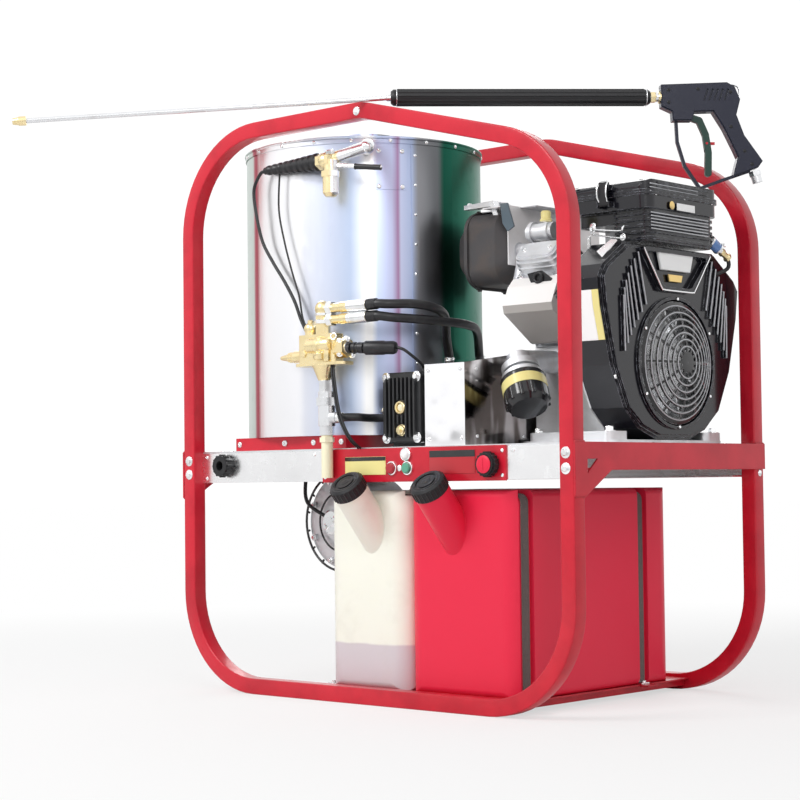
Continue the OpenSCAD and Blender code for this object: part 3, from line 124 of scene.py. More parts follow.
class Finish:
    """A material whose shader sockets take numbers, colours or Fields."""

    def __init__(self, name, **sockets):
        self.material = bpy.data.materials.new(name)
        self.material.use_nodes = True
        tree = self.material.node_tree
        self.tree_nodes, self.links = tree.nodes, tree.links
        self.shader = tree.nodes["Principled BSDF"]
        self.set(**sockets)

    def plug(self, socket, value):
        if isinstance(value, Field):
            self.links.new(value.socket, socket)
        elif isinstance(value, tuple) and socket.type == "RGBA":
            socket.default_value = (*value, 1.0)
        else:
            socket.default_value = value

    def set(self, **sockets):
        for name, value in sockets.items():
            self.plug(self.shader.inputs[name.replace("_", " ")], value)

    def node(self, kind, settings=None, inputs=None, output=0):
        made = self.tree_nodes.new("ShaderNode" + kind)
        for key, value in (settings or {}).items():
            if key == "stops":
                ramp = made.color_ramp
                while len(ramp.elements) < len(value):
                    ramp.elements.new(0.5)
                for element, (at, colour) in zip(ramp.elements, value):
                    element.position = at
                    element.color = (*colour, 1.0)
            else:
                setattr(made, key, value)
        for key, value in (inputs or {}).items():
            self.plug(made.inputs[key], value)
        return Field(self, made.outputs[output])

    def place(self):
        return self.node("TexCoord", output="Object")

    def axis(self, letter):
        return self.node("SeparateXYZ", None, {0: self.place()}, output=letter)

    def facing(self, letter):
        """How far the surface looks along an axis of the object, from -1 to 1."""
        normal = self.node("TexCoord", output="Normal")
        return self.node("SeparateXYZ", None, {0: normal}, output=letter)

    def grain(self, scale, detail=3.0, stretch=(1, 1, 1)):
        """Noise from 0 to 1, with scale in cells per metre."""
        spread = self.node("Mapping", None, {"Vector": self.place(), "Scale": stretch})
        inputs = {"Vector": spread, "Scale": scale, "Detail": detail, "Roughness": 0.55}
        return self.node("TexNoise", None, inputs)

    def mix(self, factor, first, second):
        return self.node("Mix", {"data_type": "RGBA"}, {0: factor, 6: first, 7: second}, output=2)

    def ramp(self, value, *stops):
        return self.node("ValToRGB", {"stops": stops}, {0: value})

    def soft_normal(self, radius):
        """The normal as if every edge were rounded by this radius in metres."""
        return self.node("Bevel", {"samples": 4}, {"Radius": radius})

    def edges(self, radius):
        """1 along edges and corners, 0 on open faces."""
        plain = self.node("NewGeometry", output="Normal")
        inputs = {0: self.soft_normal(radius), 1: plain}
        dot = self.node("VectorMath", {"operation": "DOT_PRODUCT"}, inputs, output="Value")
        return (1.0 - dot).between(0.01, 0.2)

    def bump(self, height, distance, strength=1.0, under=None):
        inputs = {"Height": height, "Distance": distance, "Strength": strength}
        if under is not None:
            inputs["Normal"] = under
        return self.node("Bump", None, inputs)


def paler(colour, gain, lift):
    return tuple(min(1.0, c * gain + lift) for c in colour)


print("fields and finishes ready")

# %% [markdown]
# ## Paint
# The cage is powder coated: a thick, glossy film with a faint orange peel, thinner on edges, with
# some dust on upward faces. A plain red could do at a distance. Here the peel goes into the bump and
# the dust into colour and roughness, so that the gloss breaks up as it does on a sprayed tube.

# %% Paint finishes
def painted(name, colour, shade, roughness=0.26, coat=0.3, edge=0.003, tint=None):
    """A powder coat; tint, if given, draws the base colour instead."""
    f = Finish(name, Coat_Roughness=0.08, Coat_IOR=1.4, IOR=1.38)
    dust = (f.grain(60, 5) * f.facing("Z").between(0.4, 1.0)).between(0.42, 0.75)
    if tint:
        base = tint(f)
    else:
        body = f.mix(f.grain(9, 4).between(0.35, 0.7), colour, shade)
        worn = f.edges(edge) * f.grain(140, 3).between(0.5, 0.62) * 0.5
        base = f.mix(dust * 0.16, f.mix(worn, body, paler(colour, 1.25, 0.04)), (0.55, 0.50, 0.47))
    f.set(Base_Color=base, Roughness=roughness + dust * 0.3 + f.grain(420, 2) * 0.05, Coat_Weight=coat,
        Normal=f.bump(f.grain(420, 2), 0.00012, 0.7, f.soft_normal(edge)))
    return f


frame_paint = painted("frame_paint", (0.64, 0.014, 0.034), (0.50, 0.008, 0.024))
print("paint ready")

# %% [markdown]
# ## Sheet metal
# Brushed sheet is bright metal with fine lines along the rolling direction and a slight waviness
# that bends reflections. Stretched noise gives the lines, and a slow, large noise gives the waves.
# The boiler's jacket mirrors a coloured yard that a white room doesn't have. A second room could be
# built for it; instead a ramp of colours round the jacket's axis paints those reflections into its
# colour, the same bands from every side. The belt guard's right face has painted reflections too.

# %% Sheet finishes
def brushed(name, colour=(0.98, 0.98, 0.99), roughness=0.26, lines=(1, 60, 60), waves=0.0012, wave_scale=7,
        tint=None):
    f = Finish(name, Metallic=1.0)
    streaks = f.grain(26, 3, lines)
    smear = f.grain(35, 4).between(0.52, 0.72)
    base = tint(f) if tint else f.mix(f.grain(6, 3).between(0.3, 0.7), colour, paler(colour, 0.93, 0))
    scratches = f.bump(streaks, 0.00004, 0.6, f.soft_normal(0.0006))
    f.set(Base_Color=base, Roughness=roughness * (0.7 + streaks * 0.5) + smear * 0.08,
        Normal=f.bump(f.grain(wave_scale, 1), waves, 0.6, scratches))
    return f


def painted_reflection_patches(f):
    """Pale sheet whose right-hand face carries painted reflections of dark machinery in wavy patches."""
    painted_reflection_mask = f.grain(24, 2, (1, 1, 0.25)).between(0.42, 0.62)
    patches = f.mix(painted_reflection_mask, (0.16, 0.14, 0.13), (0.62, 0.60, 0.60))
    return f.mix(f.facing("X").between(0.6, 0.9), (0.97, 0.97, 0.99), patches)


def boiler_sheet_finish(name, centre_x, centre_y):
    """Bright sheet with painted reflections as bands of colour by angle round an upright axis, in metres.
    """
    f = Finish(name, Metallic=1.0)
    east = f.axis("X") - centre_x
    north = f.axis("Y") - centre_y
    turn = f.node("Math", {"operation": "ARCTAN2"}, {0: north, 1: east}) / (2 * math.pi) + 0.5
    streaks = f.grain(20, 3, (14, 14, 0.35))
    drift = turn + (f.grain(2.2, 2, (1, 1, 0.25)) - 0.5) * 0.012
    # The ramp's bands are painted reflections: dark green, grey, blue and red bands and a white streak.
    tint = f.ramp(drift, (0.0, (0.80, 0.82, 0.85)), (0.12, (0.50, 0.58, 0.54)),
        (0.183, (0.55, 0.62, 0.58)), (0.188, (0.42, 0.06, 0.10)), (0.197, (0.42, 0.06, 0.10)),
        (0.203, (0.97, 0.97, 0.98)), (0.28, (0.93, 0.93, 0.96)), (0.290, (0.74, 0.76, 0.84)),
        (0.33, (0.64, 0.70, 0.86)), (0.352, (0.56, 0.66, 0.86)), (0.365, (0.80, 0.85, 0.96)),
        (0.370, (1.0, 1.0, 1.0)), (0.379, (1.0, 1.0, 1.0)), (0.386, (0.56, 0.64, 0.86)),
        (0.409, (0.56, 0.60, 0.84)), (0.413, (0.36, 0.10, 0.28)), (0.417, (0.60, 0.66, 0.88)),
        (0.433, (0.44, 0.52, 0.74)), (0.440, (0.30, 0.30, 0.32)), (0.474, (0.16, 0.17, 0.18)),
        (0.482, (0.010, 0.085, 0.055)), (0.53, (0.015, 0.13, 0.085)), (0.60, (0.03, 0.16, 0.11)),
        (0.66, (0.55, 0.60, 0.60)), (1.0, (0.80, 0.82, 0.85)))
    scratches = f.bump(streaks, 0.00004, 0.6, f.soft_normal(0.0006))
    f.set(Base_Color=tint, Roughness=0.24 + streaks * 0.14 + f.grain(30, 4).between(0.55, 0.75) * 0.08,
        Normal=f.bump(f.grain(5, 1, (1, 1, 0.3)), 0.002, 0.5, scratches))
    return f


stainless_sheet = brushed("stainless_sheet")
# The guard's right-hand face carries painted reflections of dark machinery.
guard_sheet = brushed("guard_sheet", (0.97, 0.97, 0.99), 0.12, (60, 60, 2), 0.004, 16, painted_reflection_patches)
boiler_x, boiler_y = -250, -28
boiler_low, boiler_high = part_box("boiler_jacket")
boiler_sheet = boiler_sheet_finish("boiler_sheet", boiler_x * MM, boiler_y * MM)
print("boiler from", round(boiler_low.z, 3), "to", round(boiler_high.z, 3))

# %% [markdown]
# ## Castings, machined steel and brass
# A cast surface is grainy and dull, a machined one is smooth and fine, and brass is stained in
# blotches. Each finish is the same few masks in different amounts. Two of them change along the
# part: the coil's fitting is brass with a plated end, and the cowl has painted shade underneath.

# %% Metal finishes
def metal(name, colour, roughness, grit=0.0, grit_scale=500, stain=(0.3, 0.28, 0.25), stain_amount=0.25,
        metallic=1.0, tint=None):
    f = Finish(name, Metallic=metallic)
    speck = f.grain(grit_scale, 3)
    blotch = f.grain(22, 4).between(0.42, 0.72)
    edge = 0.0006
    if tint:
        base = tint(f)
    else:
        stained = f.mix(blotch * stain_amount, colour, stain)
        base = f.mix(f.edges(edge) * 0.35, stained, paler(colour, 1.2, 0.03))
    f.set(Base_Color=base, Roughness=roughness + blotch * 0.1 + speck * 0.06,
        Normal=f.bump(speck, max(grit, 0.00001), 0.8, f.soft_normal(edge)))
    return f


def plated_end(f):
    return f.mix(f.axis("X").between(-0.080, -0.076), (0.93, 0.78, 0.46), (0.93, 0.94, 0.96))


# Painted shade: the cowl's downward faces are darker, as if in shadow.
def painted_shade_underneath(f):
    return f.mix(f.facing("Z").between(0.25, -0.1), (0.90, 0.89, 0.87), (0.40, 0.38, 0.36))


strut_paint = metal("strut_paint", (0.10, 0.14, 0.17), 0.40, 0.0001, metallic=0.2)
shield_sheet = metal("shield_sheet", (0.93, 0.92, 0.92), 0.38, 0.0001, stain_amount=0.12, metallic=0.3)
exhaust_alloy = metal("exhaust_alloy", (0.66, 0.67, 0.70), 0.40, 0.0001, metallic=0.35)
cast_alloy = metal("cast_alloy", (0.72, 0.73, 0.75), 0.42, 0.0004)
steel_parts = metal("steel_parts", (0.82, 0.83, 0.85), 0.22, 0.00002)
burner_alloy = metal("burner_alloy", (0.70, 0.71, 0.73), 0.42, 0.0004)
brass = metal("brass", (0.93, 0.78, 0.46), 0.24, 0.0001, 600, (0.62, 0.46, 0.20), 0.35)
chrome = metal("chrome", (0.95, 0.96, 0.97), 0.12, 0.00001)
gold_badge = metal("gold_badge", (0.85, 0.62, 0.25), 0.30, 0.00002)
muffler_steel = metal("muffler_steel", (0.075, 0.072, 0.074), 0.60, 0.0003, 700, (0.13, 0.105, 0.09),
    0.5, 0.35)
cast_steel = metal("cast_steel", (0.018, 0.019, 0.021), 0.36, 0.00025, 650, (0.05, 0.05, 0.05), 0.35, 0.0)
beige_sheet = painted("beige_sheet", (0.88, 0.87, 0.85), (0.80, 0.79, 0.77), 0.36, 0.1, edge=0.0015,
    tint=painted_shade_underneath)
coil_fitting = metal("coil_fitting", (0.93, 0.78, 0.46), 0.22, 0.0001, 600, tint=plated_end)
print("metals ready")

# %% [markdown]
# ## Plastics and rubber
# Moulded plastic has a fine spark-eroded grain, a soft sheen and paler, rubbed edges; on the shroud and
# the fan screen those pale edges are painted highlights instead. The tanks are blown from natural
# polyethylene, so the liquid inside shows as a darker zone with a level line.

# %% Plastic finishes
def moulded(name, colour, roughness, grit=0.00012, grit_scale=900, coat=0.0, edge_wear_and_glint=0.25, edge=0.001,
        glint=None):
    """Grained plastic with paler, rubbed edges; a glint, if given, is a painted highlight colour on them.
    """
    f = Finish(name, IOR=1.40, Coat_Roughness=0.1)
    dust = (f.grain(45, 5) * f.facing("Z").between(0.2, 1.0)).between(0.4, 0.8)
    wear_and_glint_edges = f.edges(edge) * f.grain(90, 3).between(0.4, 0.65)
    pale = paler(colour, 1.5, 0.035)
    body = f.mix(wear_and_glint_edges * edge_wear_and_glint, f.mix(f.grain(30, 3) * 0.06, colour, pale), glint or pale)
    f.set(Base_Color=f.mix(dust * 0.10, body, (0.42, 0.40, 0.37)),
        Roughness=roughness + dust * 0.2 + f.grain(60, 3) * 0.06, Coat_Weight=coat,
        Normal=f.bump(f.grain(grit_scale, 2), grit, 0.8, f.soft_normal(edge)))
    return f


black_plastic = moulded("black_plastic", (0.014, 0.014, 0.016), 0.34)
# The shroud's pale edges are painted highlights.
shroud_gloss = moulded("shroud_gloss", (0.005, 0.005, 0.009), 0.15, 0.00004, 500, 0.35, 0.9, 0.0022,
    glint=(0.42, 0.44, 0.50))
# Pale grey for thin strips and ribs: a painted highlight on their rounded tops.
painted_highlight_plastic = moulded("painted_highlight_plastic", (0.50, 0.51, 0.54), 0.16, 0.00002, coat=0.6)
# The fan screen's pale ring edges are painted highlights.
fan_plastic = moulded("fan_plastic", (0.010, 0.010, 0.012), 0.20, 0.00004, 500, 0.4, 1.0, 0.0018,
    glint=(0.85, 0.86, 0.88))
black_gloss = moulded("black_gloss", (0.008, 0.008, 0.010), 0.12, 0.00002, 500, 0.6)
gun_plastic = moulded("gun_plastic", (0.011, 0.013, 0.030), 0.26, 0.0002)
red_poly = moulded("red_poly", (0.80, 0.018, 0.060), 0.36, 0.0002, 500)
red_button = moulded("red_button", (0.42, 0.012, 0.025), 0.18, 0.00002, coat=0.5)
green_button = moulded("green_button", (0.10, 0.36, 0.24), 0.18, 0.00002, coat=0.5)
trigger_plastic = moulded("trigger_plastic", (0.012, 0.045, 0.034), 0.30)
red_latch = moulded("red_latch", (0.55, 0.015, 0.03), 0.25)
cream_tube = moulded("cream_tube", (0.92, 0.86, 0.62), 0.30, 0.00005, coat=0.2)
white_card = moulded("white_card", (0.95, 0.95, 0.95), 0.30, 0.00002, coat=0.3)
yellow_card = moulded("yellow_card", (0.86, 0.76, 0.30), 0.34, 0.00002, coat=0.3)
red_card = moulded("red_card", (0.50, 0.02, 0.03), 0.34, 0.00002, coat=0.3)
filter_paper = moulded("filter_paper", (0.70, 0.60, 0.38), 0.85, 0.0002)
blue_glass = moulded("blue_glass", (0.10, 0.22, 0.50), 0.10, 0.00002, coat=0.8)


def rubber(name, colour, roughness):
    f = Finish(name, IOR=1.5)
    scuff = f.grain(40, 4).between(0.5, 0.75)
    f.set(Base_Color=f.mix(scuff * 0.3, colour, (0.07, 0.07, 0.075)), Roughness=roughness + scuff * 0.15,
        Normal=f.bump(f.grain(700, 2), 0.0002, 0.7))
    return f


hose_rubber = rubber("hose_rubber", (0.010, 0.010, 0.012), 0.38)
belt_rubber = rubber("belt_rubber", (0.016, 0.016, 0.018), 0.6)


def natural_poly(name, level):
    """Milky plastic, darker below the height of the liquid inside, in metres."""
    f = Finish(name, IOR=1.5, Subsurface_Weight=0.15, Subsurface_Radius=(0.02, 0.02, 0.015))
    height = f.axis("Z") + (f.grain(14, 2) - 0.5) * 0.006
    wet = 1.0 - height.between(level - 0.003, level + 0.003)
    dirt = f.grain(18, 5).between(0.5, 0.8)
    body = f.mix(wet, (0.90, 0.90, 0.80), (0.66, 0.61, 0.64))
    fine = f.bump(f.grain(600, 2), 0.0001, 0.6, f.soft_normal(0.002))
    f.set(Base_Color=f.mix(dirt * 0.18, body, (0.55, 0.50, 0.42)), Roughness=0.32 + f.grain(50, 3) * 0.12,
        Normal=f.bump(f.grain(9, 2), 0.003, 0.35, fine))
    return f


white_poly = natural_poly("white_poly", 0.112)
print("plastics ready")

# %% [markdown]
# ## Woven webbing
# The straps are flat webbing: warp threads run along the strap and weft threads cross it. Two waves
# at right angles, one shifted by half a step on every other thread, give the weave without an image.

# %% Webbing finish
def woven(name, colour, dark, pitch=0.0014):
    f = Finish(name, Sheen_Weight=0.4, Sheen_Roughness=0.5)
    across = f.axis("Y") * (2 * math.pi / pitch)
    along = (f.axis("X") + f.axis("Z")) * (2 * math.pi / (pitch * 1.6))
    weave = (across.wave() * (along + (across * 0.5).wave() * 1.57).wave()) * 0.5 + 0.5
    f.set(Base_Color=f.mix(weave * 0.7 + f.grain(60, 3) * 0.3, dark, colour), Roughness=0.85,
        Normal=f.bump(weave, 0.0004, 0.9))
    return f


webbing = woven("webbing", (0.13, 0.10, 0.09), (0.04, 0.032, 0.03))
print("webbing ready")

# %% [markdown]
# ## Finishes on the CAD nodes
# Each CAD node gets the finish of its real material. Nodes that share a record slot may still
# differ: the shroud and the air box are polished black, while the grips and caps are grained.

# %% Assign finishes
wearing = {
    frame_paint: "front_hoop rear_hoop left_side_rail right_side_rail tank_tray control_panel boiler_base",
    stainless_sheet: "front_rail rear_rail",
    guard_sheet: "belt_guard",
    boiler_sheet: "boiler_jacket boiler_lid",
    cast_alloy: "deck_plate engine_block front_cylinder rear_cylinder carburettor heating_coil",
    steel_parts: "crankshaft engine_pulley pump_pulley flywheel water_strainer lance_pipe gun_inlet",
    cast_steel: "pump_crankcase pump_cover",
    black_plastic: "hose_coupler burner_knob white_tank_cap red_tank_cap cleaner_latch lance_sleeve",
    shroud_gloss: "engine_shroud air_cleaner_base air_cleaner_cover",
    fan_plastic: "fan_screen",
    black_gloss: "oil_filter",
    gun_plastic: "gun_body",
    coil_fitting: "coil_outlet",
    brass: "unloader_valve unloader_knob pump_head spray_nozzle",
    cream_tube: "outlet_tube",
    hose_rubber: "pressure_hoses wiring_harness",
    belt_rubber: "drive_belt",
    beige_sheet: "cylinder_cowl",
    muffler_steel: "muffler",
    exhaust_alloy: "exhaust_pipes",
    burner_alloy: "burner",
    white_poly: "white_tank",
    red_poly: "red_tank",
    webbing: "tank_straps",
    filter_paper: "filter_element",
    red_button: "stop_button",
    green_button: "start_button",
    trigger_plastic: "trigger",
    red_latch: "safety_latch",
}
dressed = set()
for finish, names in wearing.items():
    for name in names.split():
        node = nodes[name]
        node.data.materials.clear()
        node.data.materials.append(finish.material)
        dressed.add(name)
print("nodes without a finish:", sorted(set(nodes) - dressed))

# %% [markdown]
# ## Shapes for the small parts
# Bolts, nipples, hoses and plates are all turned, swept or pressed. One class draws those shapes into
# a mesh in millimetres, from an origin of its own, and then turns the mesh into a piece that rides on
# a body. Modifiers could do the same, but drawn faces keep every bolt of one kind in one light piece.

# %% Shape helper
LEFT, RIGHT = Vector((-1, 0, 0)), Vector((1, 0, 0))
FRONT, BACK = Vector((0, -1, 0)), Vector((0, 1, 0))
UP = Vector((0, 0, 1))
record_slots = {
    "guard_sheet": "stainless_sheet", "shroud_gloss": "black_plastic", "gun_plastic": "black_plastic",
    "chrome": "steel_parts", "gold_badge": "brass", "white_card": "white_poly",
    "yellow_card": "beige_sheet", "red_card": "frame_paint", "blue_glass": "black_gloss",
    "fan_plastic": "black_plastic", "painted_highlight_plastic": "black_plastic", "exhaust_alloy": "steel_parts",
    "strut_paint": "muffler_steel", "shield_sheet": "stainless_sheet", "coil_fitting": "brass",
}


def crossing(direction):
    side = UP if abs(direction.z) < 0.9 else RIGHT
    first = direction.cross(side).normalized()
    return first, direction.cross(first)


def smooth_route(points, steps):
    """A Catmull-Rom curve through the points."""
    points = [Vector(p) for p in points]
    last = len(points) - 1
    route = []
    for i in range(last):
        a, b, c, d = points[max(i - 1, 0)], points[i], points[i + 1], points[min(i + 2, last)]
        for k in range(steps):
            t = k / steps
            square = (2 * a - 5 * b + 4 * c - d) * t * t
            cube = (3 * b - a - 3 * c + d) * t ** 3
            route.append(0.5 * (2 * b + (c - a) * t + square + cube))
    return route + [points[last]]


class Shape:
    """A mesh drawn in millimetres; turned and swept shapes start from its origin."""

    def __init__(self, origin=(0, 0, 0)):
        self.mesh = bmesh.new()
        self.origin = Vector(origin)

    def rings(self, rings, loop=False):
        """Joins rings of points in a row, and closes both ends or joins the last to the first."""
        made = [[self.mesh.verts.new(p) for p in ring] for ring in rings]
        pairs = list(zip(made, made[1:])) + ([(made[-1], made[0])] if loop else [])
        for low, high in pairs:
            for k in range(max(len(low), len(high))):
                corners = (low[k % len(low)], low[(k + 1) % len(low)], high[(k + 1) % len(high)],
                    high[k % len(high)])
                face = list(dict.fromkeys(corners))
                if len(face) > 2:
                    self.mesh.faces.new(face)
        if not loop:
            for ring in (made[0], made[-1]):
                if len(ring) > 2:
                    self.mesh.faces.new(ring)
        return self

    def turned(self, place, direction, profile, sides=32, loop=False, start=0.0):
        """Turns (radius, height) points about an axis; an open profile gets flat ends."""
        place, direction = self.origin + Vector(place), Vector(direction).normalized()
        if not loop:
            head = [(0, profile[0][1])] if profile[0][0] else []
            tail = [(0, profile[-1][1])] if profile[-1][0] else []
            profile = head + profile + tail
        u, v = crossing(direction)
        rings = []
        for radius, height in profile:
            middle = place + direction * height
            if radius == 0:
                rings.append([middle])
            else:
                angles = [start + 2 * math.pi * k / sides for k in range(sides)]
                rings.append([middle + radius * (math.cos(a) * u + math.sin(a) * v) for a in angles])
        return self.rings(rings, loop)

    def rod(self, a, b, radius, sides=24):
        a, b = Vector(a), Vector(b)
        length = (b - a).length
        c = min(0.6, radius * 0.4, length * 0.3)
        profile = [(radius - c, 0), (radius, c), (radius, length - c), (radius - c, length)]
        return self.turned(a, b - a, profile, sides)

    def hoop(self, place, direction, ring_r, wire_r, sides=36):
        angles = [2 * math.pi * k / 10 for k in range(10)]
        profile = [(ring_r + wire_r * math.cos(a), wire_r * math.sin(a)) for a in angles]
        return self.turned(place, direction, profile, sides, loop=True)

    def tube(self, points, radius, sides=14, steps=6, swell=None):
        """Sweeps a round section; swell(share) scales the radius along the route."""
        route = smooth_route(points, steps) if steps else [Vector(p) for p in points]
        last = len(route) - 1
        angles = [2 * math.pi * k / sides for k in range(sides)]
        side = None
        rings = []
        for i, p in enumerate(route):
            along = (route[min(i + 1, last)] - route[max(i - 1, 0)]).normalized()
            if side is None:
                side = crossing(along)[0]
            side = (side - along * side.dot(along)).normalized()
            other = along.cross(side)
            r = radius * (swell(i / last) if swell else 1)
            middle = self.origin + p
            rings.append([middle + r * (math.cos(a) * side + math.sin(a) * other) for a in angles])
        return self.rings(rings)

    def bolt(self, place, direction, across=10, high=4.5, washer=True):
        """A hex head, turned to a random angle, on a washer unless it has none."""
        place, direction = Vector(place), Vector(direction).normalized()
        r = across / math.sqrt(3)
        if washer:
            rim = across * 0.95
            self.turned(place, direction, [(rim, 0), (rim, 0.9), (across * 0.86, 1.2)], 20)
            place = place + direction * 1.1
        profile = [(r, 0), (r, high * 0.78), (r * 0.84, high)]
        return self.turned(place, direction, profile, 6, start=random.random())

    def screw(self, place, direction, radius=4, high=2):
        """A pan head with a hollow in its crown."""
        profile = [(radius, 0), (radius, high * 0.35), (radius * 0.85, high * 0.8), (radius * 0.5, high),
            (radius * 0.32, high), (radius * 0.25, high * 0.4)]
        return self.turned(place, direction, profile, 18)

    def slab(self, low, high, round_by):
        box = bmesh.ops.create_cube(self.mesh, size=1)
        low, high = Vector(low), Vector(high)
        for v in box["verts"]:
            v.co = Vector([(low[i] + high[i]) / 2 + v.co[i] * (high[i] - low[i]) for i in range(3)])
        edges = list({e for v in box["verts"] for e in v.link_edges})
        bmesh.ops.bevel(self.mesh, geom=edges, offset=round_by, segments=2, affect="EDGES")

    def sheet(self, outline, push, lip=0.5):
        """A flat sheet: its outline, pushed through its thickness, with a small lip on the far side."""
        outline, push = [Vector(p) for p in outline], Vector(push)
        middle = sum(outline, Vector()) / len(outline)
        inner = [p + (middle - p).normalized() * lip for p in outline]
        return self.rings([outline, [p + push * 0.7 for p in outline], [p + push for p in inner]])

    def strip(self, outline, y, width):
        """Pushes a closed (x, z) outline through a width along Y."""
        return self.rings([[Vector((x, at, z)) for x, z in outline] for at in (y, y + width)])

    def bead(self, a, b, radius=2.2):
        """A weld bead: a half-buried run of overlapping drops."""
        a, b = Vector(a), Vector(b)
        drops = max(2, int((b - a).length / 4))
        steps = drops * 4
        points = [a + (b - a) * (i / steps) for i in range(steps + 1)]
        return self.tube(points, radius, 8, 0, lambda t: 0.72 + 0.28 * abs(math.sin(math.pi * drops * t)))

    def piece(self, name, finish, body="skid", stands_for=()):
        bmesh.ops.recalc_face_normals(self.mesh, faces=self.mesh.faces)
        for edge in self.mesh.edges:
            edge.smooth = len(edge.link_faces) == 2 and edge.calc_face_angle(0) < math.radians(38)
        for face in self.mesh.faces:
            face.smooth = True
        bmesh.ops.scale(self.mesh, vec=(MM, MM, MM), verts=self.mesh.verts)
        data = bpy.data.meshes.new(name)
        self.mesh.to_mesh(data)
        self.mesh.free()
        data.materials.append(finish.material)
        made = bpy.data.objects.new(name, data)
        bpy.context.scene.collection.objects.link(made)
        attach(made, body)
        own = finish.material.name
        record_slots.get(own, own)
        if stands_for:
            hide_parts(*stands_for)
        print("made", name, "with", len(data.polygons), "faces")
        return made


print("shape helper ready")

# %% [markdown]
# ## Pressure hoses
# A wire-braided hose is a smooth black tube that is crimped into a steel ferrule at each end. The CAD
# hose has eight flat sides. It is swept again here along the same route with a round section, and the
# crimps get their pressed rings.

# %% Hoses
hose_end = Vector((17.3, -302, 770))
arm = Vector((math.cos(math.radians(12)), math.sin(math.radians(12)), 0))
inlet = Vector((boiler_x, boiler_y, 575)) + 271 * arm
discharge = [hose_end + Vector(d) for d in ((0, 0, 0), (24, 0, 0), (46, 16, -1), (66, 56, 0))]
discharge += [(90, -196, 766), (72, -140, 754), (40, -98, 712), (24, -72, 676)]
feed = [hose_end + Vector(d) for d in ((0, 0, -23), (24, 0, -23), (48, 20, -27), (68, 70, -29))]
feed += [(95, -150, 739), (92, -90, 736), (70, -40, 728), (30, 14, 690)]
feed += [inlet + Vector((4, 0, 60)), inlet + Vector((0, 0, 8))]
bypass = [(-57, -302, 554), (-42, -298, 554), (-30, -282, 554), (-30, -258, 553), (-28, -238, 553),
    (-18, -222, 553), (-6, -218, 553)]


def crimp(shape, a, b, radius):
    """A ferrule with pressed rings from a to b."""
    a, b = Vector(a), Vector(b)
    length = (b - a).length
    profile = [(radius * 0.86, 0), (radius, 1.2)]
    rings = max(2, int(length / 6))
    for i in range(rings):
        z = 2 + (length - 4) * (i + 0.5) / rings
        profile += [(radius, z - 1.6), (radius * 0.93, z - 0.8), (radius * 0.93, z + 0.8),
            (radius, z + 1.6)]
    return shape.turned(a, b - a, profile + [(radius, length - 1.2), (radius * 0.88, length)], 28)


hoses = Shape().tube(discharge, 9, 18).tube(feed, 9, 18).tube(bypass, 8, 16)
crimp(hoses, hose_end, hose_end + Vector((24, 0, 0)), 11)
crimp(hoses, hose_end - Vector((0, 0, 23)), hose_end + Vector((24, 0, -23)), 11)
hoses.piece("pressure_hose_runs", hose_rubber, stands_for=("pressure_hoses",))
ends = Shape()
crimp(ends, (24, -72, 676), (24, -72, 650.2), 11)
crimp(ends, inlet + Vector((0, 0, 16)), inlet - Vector((0, 0, 14)), 12)
ends.rod(inlet - arm * 11.5, inlet, 11)
crimp(ends, (-12, -218, 553), (-3.2, -218, 553), 11)
crimp(ends, (-67, -302, 554), (-53, -302, 554), 10)
for z in (770, 747):
    crimp(ends, (-34, -302, z), (17, -302, z), 11.6)
ends.piece("hose_ferrules", chrome)

# %% [markdown]
# ## Burner harness
# The burner leads leave a ribbed rubber boot below the outlet tee and fall in two long bends to the
# valve body. A harness is several cords of different thickness, so each lead keeps its own radius.

# %% Harness
tee = Vector((-102, -292, 1065))


def lead(points):
    return [(x, -291, 719.7 + 345.3 * share) for x, share in points]


thick_lead = lead([(-262, 1), (-276, 0.995), (-292, 0.99), (-312, 0.9), (-306, 0.755), (-288, 0.585),
    (-258, 0.455), (-224, 0.33), (-196, 0.21), (-178, 0.1), (-157, 0)])
thin_lead = lead([(-236, 0.97), (-239, 0.76), (-224, 0.57), (-202, 0.38), (-183, 0.24), (-172, 0.1),
    (-150, 0)])
pump_lead = [(55, -265, 686), (60, -263.5, 685.7), (72, -259, 681), (80, -244, 669), (82, -222, 656),
    (80, -212, 648), (80, -212, 641)]
switch_lead = [(-71, -314, 656.2), (-67, -316, 630), (-51, -318, 560), (-29, -314, 515),
    (-27, -286.5, 493)]
harness = Shape().tube(thick_lead, 3.5, 12).tube(thin_lead, 2, 10).tube(pump_lead, 3, 12)
for shift in (0, 6):
    harness.tube([Vector(p) + Vector((shift, 0, 0)) for p in switch_lead], 2.2, 12)
boot = [(15, 0)]
for i in range(9):
    z = 4 + i * 17
    boot += [(15.5 - i * 0.85, z - 1), (18 - i, z + 1), (18.2 - i, z + 5), (17.6 - i, z + 8.5),
        (14.6 - i * 0.85, z + 10)]
harness.turned(tee - Vector((17, 0, 0)), LEFT, boot + [(7.5, 157), (5, 158)], 32)
start, knee, stop = Vector((-34.5, -292, 690)), Vector((-6, -286, 688)), Vector((58, -264, 686))
harness.turned(start, knee - start, [(9.5, 0), (11, 1.5), (11, 8), (9.2, 10), (9.2, 13), (11, 15),
    (11, 27), (0, 30)], 28)
harness.turned(knee, stop - knee, [(12, 0), (14, 2), (14, 40), (13, 42), (13, 60), (11, 65), (7, 67)], 28)
harness.piece("burner_harness", hose_rubber, stands_for=("wiring_harness",))
Shape().rod(tee + Vector((60, 21, -16)), tee + Vector((112, 40, -22)), 5.6).hoop(
    tee + Vector((60, 21, -16)), (52, 19, -6), 5.2, 1.2).piece("probe_sleeve", hose_rubber)

# %% [markdown]
# ## Tank straps
# Two flat straps hold the tanks down. Flat webbing is modelled as a band with a crowned section that
# follows the tank's outline, because a cloth simulation would only erase its woven edges.

